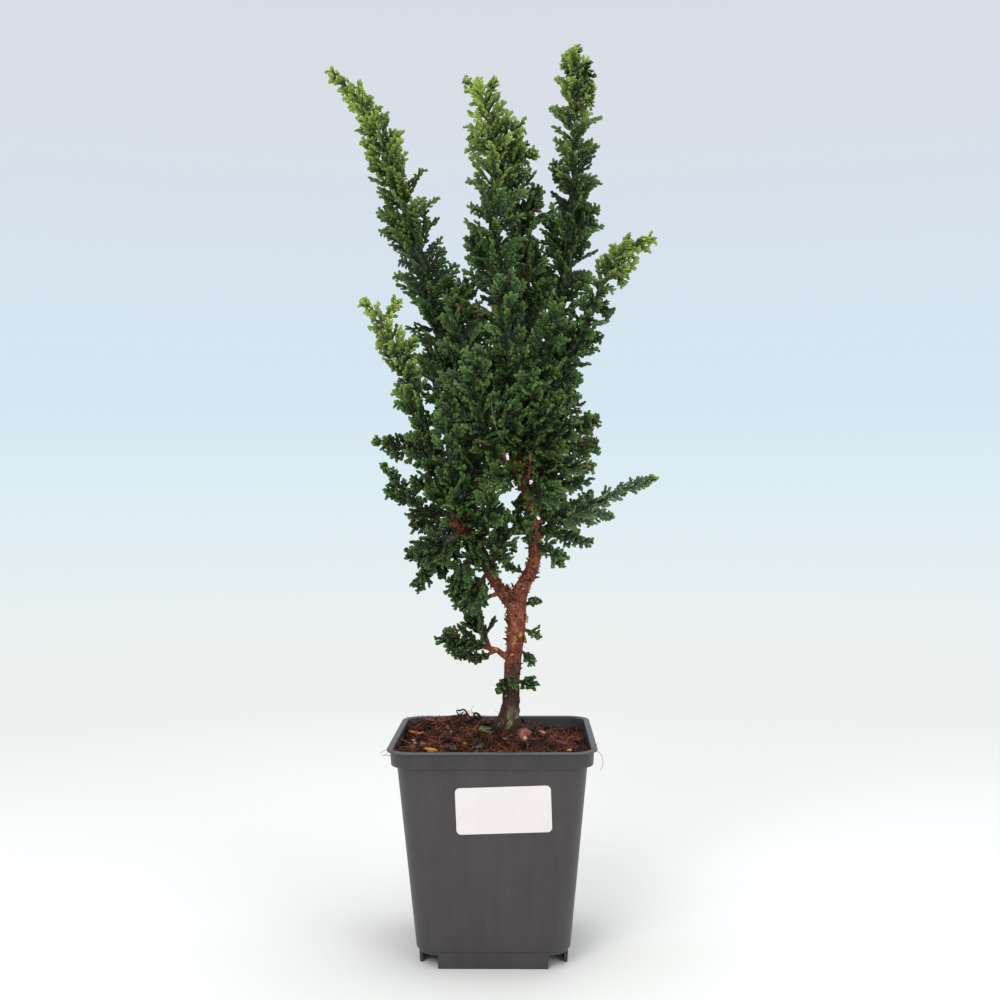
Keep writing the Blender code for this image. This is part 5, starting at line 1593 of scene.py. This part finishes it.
def makeLitter(ground, firstOnTop):
    s = scraps
    rng = random.Random(77)
    mesh = ground.copy()
    shares = []
    for vertex in mesh.vertices:
        x, y, _ = vertex.co / mm
        inside = vertex.index >= firstOnTop and max(abs(x), abs(y)) < s["reach"]
        near = Vector((x - trunkFoot[0], y - trunkFoot[1])).length < s["footClear"]
        patch = noise.noise(Vector((x, y, 0)) / s["patch"]) * s["patchy"]
        shares.append(min(1.9, max(0.15, 0.9 + patch)) if inside and not near else 0.0)
    setDensity(mesh, shares)
    tree = scatterTree("strewOnSoil", (0, 0, 0.4))
    shapes = {
        "fibres": collect("fibres", [
            makeFibre(f"fibre_{k}", rng.uniform(*s["fibreLong"]), s["wave"],
                      rng.uniform(*s["fibreThick"]), rng) for k in range(s["fibres"])]),
        "chips": collect("chips", [
            makeChip(f"chip_{k}", [rng.uniform(*size) for size in s["chipSize"]], rng)
            for k in range(s["chips"])]),
    }
    for name, (look, dark, light, shape, *values) in litter.items():
        strewn = strew(tree, mesh, name, shapes[shape], values, makeFlakeLook(look, dark, light))
        finished(name, strewn, "potting_soil")
        print(name + ":", len(strewn.polygons), "faces")


# Single finds on the soil: x, y and lift over the soil, sizes, then turns, in millimetres and degrees

finds = {
    "maroon_bulb": ((0.050, 0.010, 0.010), (0.36, 0.14, 0.12), 0.45, (
        (12.3, -8, 1.5, 12.5, 6.4, 5.8, 0, -20, 38),)),
    "lichen_clumps": ((0.035, 0.055, 0.028), (0.13, 0.16, 0.08), 1.7, (
        (-3, -3, 0.8, 4.6, 3.6, 3.0, 10, 0, 20), (-17, -27, 0.5, 3.0, 2.0, 1.5, 0, 10, 60),
        (-6, -24, 0.5, 3.4, 2.2, 1.4, 0, 0, 30), (-30, 36, 0.5, 4.5, 2.0, 1.2, 0, 0, 5))),
    "orange_flakes": ((0.30, 0.11, 0.03), (0.62, 0.33, 0.10), 0.6, (
        (-38, 17, 0.9, 4.2, 2.0, 1.0, 0, 12, 15), (-36, 14, 1.2, 3.2, 1.6, 0.8, 20, 0, -30),
        (-34.5, 16, 1.0, 3.0, 1.4, 0.8, 0, -14, 40), (-12, -22, 0.9, 2.6, 1.6, 1.2, 0, 20, 80),
        (-26, -35, 0.8, 5.0, 2.6, 1.6, 0, 8, 25), (33, -32, 0.6, 2.6, 1.5, 1.0, 0, 0, 50))),
    "pale_bits": ((0.33, 0.20, 0.15), (0.66, 0.50, 0.38), 0.5, (
        (14.2, -13, 0.9, 2.2, 2.0, 1.9, 0, 0, 0), (22, 17, 1.2, 4.0, 2.6, 2.0, 0, 15, 20),
        (18.5, 14, 0.8, 3.0, 2.0, 1.2, 0, 0, 60), (-31.7, -5, 1.0, 3.0, 2.4, 1.8, 0, 20, 10),
        (-19, 8, 0.9, 3.4, 1.2, 0.9, 0, -22, 35), (-37, 3, 0.6, 1.6, 1.4, 1.2, 0, 0, 0),
        (-36, 0, 0.6, 1.9, 1.5, 1.2, 0, 0, 0), (5, -13, 0.5, 1.4, 1.1, 0.9, 0, 0, 0))),
    "dark_crumbs": ((0.008, 0.005, 0.004), (0.050, 0.024, 0.016), 0.9, (
        (-33, 22, 0.6, 6.5, 5.0, 3.0, 0, 0, 20), (-24, 10, 0.6, 6.0, 4.5, 3.2, 0, 0, 60),
        (-10, 16, 0.8, 7.0, 5.0, 3.6, 0, 0, 10), (2, 18, 0.8, 6.0, 5.0, 3.2, 0, 0, 80),
        (-20, -16, 0.4, 6.0, 4.0, 2.6, 0, 0, 35), (24, -6, 0.4, 6.5, 4.5, 2.8, 0, 0, 120),
        (18, -26, 0.4, 14, 3.0, 2.2, 0, 0, 4), (32, -14, 0.4, 5.0, 4.0, 2.6, 0, 0, 50),
        (-6, 5, 0.8, 6.0, 4.6, 3.4, 0, 0, 15), (16, 6, 0.6, 6.0, 5.0, 4.0, 0, 0, 70),
        (-34, -22, 0.3, 5.0, 3.6, 2.0, 0, 0, 10), (0, -28, 0.3, 6.0, 4.0, 2.4, 0, 0, 95))),
}

# Roots and stray fibres: radius, then x, y and lift over the soil
roots = {
    "dark_roots": ((0.012, 0.008, 0.007), (0.060, 0.034, 0.024), (
        (0.9, (-37, 33, 0.6), (-30, 35, 1.6), (-22, 34, 1.9), (-13, 32, 1.2)),
        (0.55, (-12, 30, 0.5), (-15, 33, 3.4), (-17.5, 34, 4.6), (-19, 34, 4.2), (-17.6, 34, 3.0),
         (-15.5, 33, 2.4)),
        (0.8, (-9, 32, 1.0), (-10.5, 33, 3.4), (-8.6, 33, 4.4), (-6.5, 32, 2.6)),
        (1.3, (10, -1, 2.5), (14, -1.5, 1.6), (18, 1, 0.9), (21, 5, -0.6)),
        (1.0, (12, 5, 3.0), (16, 8, 1.4), (19, 13, 0.3), (20, 17, -0.8)),
        (0.9, (3, -3, 1.8), (-1, -7, 0.9), (-4, -12, 0.1), (-6, -16, -0.9)))),
    "stray_fibres": ((0.060, 0.018, 0.010), (0.240, 0.090, 0.050), (
        (0.16, (36, -38, 0.4), (39, -40, 2.0), (42, -42, 4.6), (44.6, -43, 7.4)),
        (0.14, (37, -34, 0.4), (41, -37, 2.6), (45.4, -40, 2.2), (46.8, -41, -1.8), (45.6, -42, -5.2)),
        (0.14, (-36, -36, 0.4), (-40, -39, 2.4), (-44, -41, 3.6), (-47, -42, 2.4)),
        (0.14, (-34, -39, 0.4), (-38, -41, 2.2), (-42, -42, 2.8), (-45.5, -42, 1.2)),
        (0.15, (27, 20, 0.2), (26.4, 20, 3.8), (27.6, 20, 7.4)),
        (0.14, (31, 24, 0.2), (32.6, 24, 4.4), (31.6, 24, 8.4)),
        (0.14, (37, 20, 0.2), (38.4, 21, 4.2), (37.2, 21, 6.8)),
        (0.13, (-36, 36, 0.4), (-36.6, 36, 3.4), (-35.2, 36, 5.6)),
        (0.13, (-11, 30, 0.4), (-11.6, 31, 4.4), (-10.4, 31, 8.6)),
        (0.16, (24, -18, 0.4), (25.6, -19, 3.4), (28.6, -19, 4.6), (31.2, -20, 1.6)),
        (0.16, (20, -12, 0.4), (18.4, -13, 3.8), (19.6, -14, 6.6)),
        (0.16, (-28, -24, 0.4), (-25, -26, 3.2), (-20, -27, 2.8), (-16, -29, 0.4)),
        (0.15, (-37, 20, 0.4), (-39, 18, 3.0), (-41, 15, 4.6)))),
}


def groundFinder(mesh, firstOnTop):         # gives the height of the soil at x and y
    tops = [v.co for v in mesh.vertices[firstOnTop:]]
    tree = kdtree.KDTree(len(tops))
    for k, co in enumerate(tops):
        tree.insert((co.x, co.y, 0), k)
    tree.balance()
    return lambda x, y: tops[tree.find((x * mm, y * mm, 0))[1]].z / mm


def makeFinds(mesh, firstOnTop):
    ground = groundFinder(mesh, firstOnTop)
    for name, (dark, light, rough, rows) in finds.items():
        look = makeFlakeLook(name + "_look", dark, light)
        shapes = []
        for k, (x, y, lift, long, wide, high, *turns) in enumerate(rows):
            place = (x, y, ground(x, y) + lift)
            shapes.append(makeLump(place, (long, wide, high), turns, rough, 5.3 * k))
        finished(name, gather(name, shapes, look), "potting_soil")
    for name, (dark, light, rows) in roots.items():
        look = makeFlakeLook(name + "_look", dark, light)
        lines = []
        for radius, *points in rows:
            line = [(x, y, ground(x, y) + lift, radius) for x, y, lift in points]
            smooth = smoothPath(line, 1.2)
            for k, row in enumerate(smooth):
                row[3] *= 1 - 0.45 * k / len(smooth)
            lines.append(smooth)
        mesh = tubeMesh(name, lines, 1, look)
        mesh.shade_smooth()
        finished(name, mesh, "potting_soil")
    print("finds and roots:", len(finds) + len(roots), "pieces")


# Stage, lights and camera

lights = {                          # metres, watts: place, size, power, colour
    "key": ((-0.55, -1.25, 1.15), 0.9, 13, (1.0, 0.98, 0.95)),
    "fill": ((0.95, -1.0, 0.55), 0.9, 5.6, (0.97, 0.99, 1.0)),
    "top": ((0.1, 0.1, 1.5), 0.8, 8.5, (1.0, 1.0, 1.0)),
}
lightAim = (0, 0, 0.2)
camera = {"place": (14.0, -554.4, 200.9), "pixels": 1220.16, "picture": 1000, "sensor": 36,
          "yaw": 0.0194, "roll": -0.0047}       # millimetres and radians


def makeStage(look):
    shape = bmesh.new()
    bmesh.ops.create_circle(shape, cap_ends=True, radius=backdrop["floor"], segments=96)
    newObject("pale_floor", meshFrom(shape, "pale_floor", look))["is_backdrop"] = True


def makeLights():
    for name, (place, size, power, colour) in lights.items():
        lamp = bpy.data.lights.new(name, "AREA")
        lamp.shape = "DISK"
        lamp.size = size
        lamp.energy = power
        lamp.color = colour
        holder = newObject(name, lamp)
        holder.location = place
        aim = Vector(lightAim) - Vector(place)
        holder.rotation_euler = aim.to_track_quat("-Z", "Y").to_euler()


def makeCamera():
    lens = bpy.data.cameras.new("camera")
    lens.sensor_width = camera["sensor"]
    lens.lens = camera["pixels"] / camera["picture"] * camera["sensor"]
    holder = newObject("camera", lens)
    holder.location = Vector(camera["place"]) * mm
    turn = (Matrix.Rotation(camera["yaw"], 3, "Z") @ Matrix.Rotation(math.pi / 2, 3, "X")
            @ Matrix.Rotation(camera["roll"], 3, "Z"))
    holder.rotation_euler = turn.to_euler()
    scene.camera = holder


def makeWorld():
    world = bpy.data.worlds.new("studio")
    scene.world = world
    world.use_nodes = True
    graph = Graph(world.node_tree)
    aim = graph.node("ShaderNodeTexCoord", out="Generated")
    height = graph.along(aim, "Z")
    colour = graph.node("ShaderNodeValToRGB", {"stops": (
        (0.42, backdrop["near"]), (0.50, backdrop["far"]), *backdrop["above"])},
        {0: height * 0.5 + 0.5})
    background = world.node_tree.nodes["Background"]
    graph.join(colour, background.inputs["Color"])
    background.inputs["Strength"].default_value = 1.0


makeCamera()
makeWorld()
makeStage(makeFloorLook())
makeLights()
scene.view_settings.view_transform = "Standard"
print("stage:", len(lights), "lights")

makePot(makePotLook())
makeLabel(makeLabelLook())
ground, firstOnTop = makeSoil(makeSoilLook())
makeLitter(ground, firstOnTop)
makeFinds(ground, firstOnTop)
paths = settledPaths()
makeBark(paths, makeBarkLook(),
         makeFlakeLook("stub_wood", (0.07, 0.022, 0.014), (0.24, 0.09, 0.05)),
         makeFlakeLook("bark_flake", (0.12, 0.04, 0.02), (0.42, 0.20, 0.08)))
makeFoliage(paths, makeLeafLook(), makeShootLook())

pieces = [ob for ob in scene.objects if ob.type == "MESH" and not ob.hide_render]
counts = [trianglesIn(piece.data) for piece in pieces]
print("triangles in all:", sum(counts), "most in one:", max(counts))

shownBox = [list(corner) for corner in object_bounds()]
for k in range(3):                  # a piece of the wrong size would hide all the others
    beyond = max(cadBox[0][k] - shownBox[0][k], shownBox[1][k] - cadBox[1][k])
    assert beyond < 0.03 * (cadBox[1][k] - cadBox[0][k]), ("outside the CAD box", k, beyond)
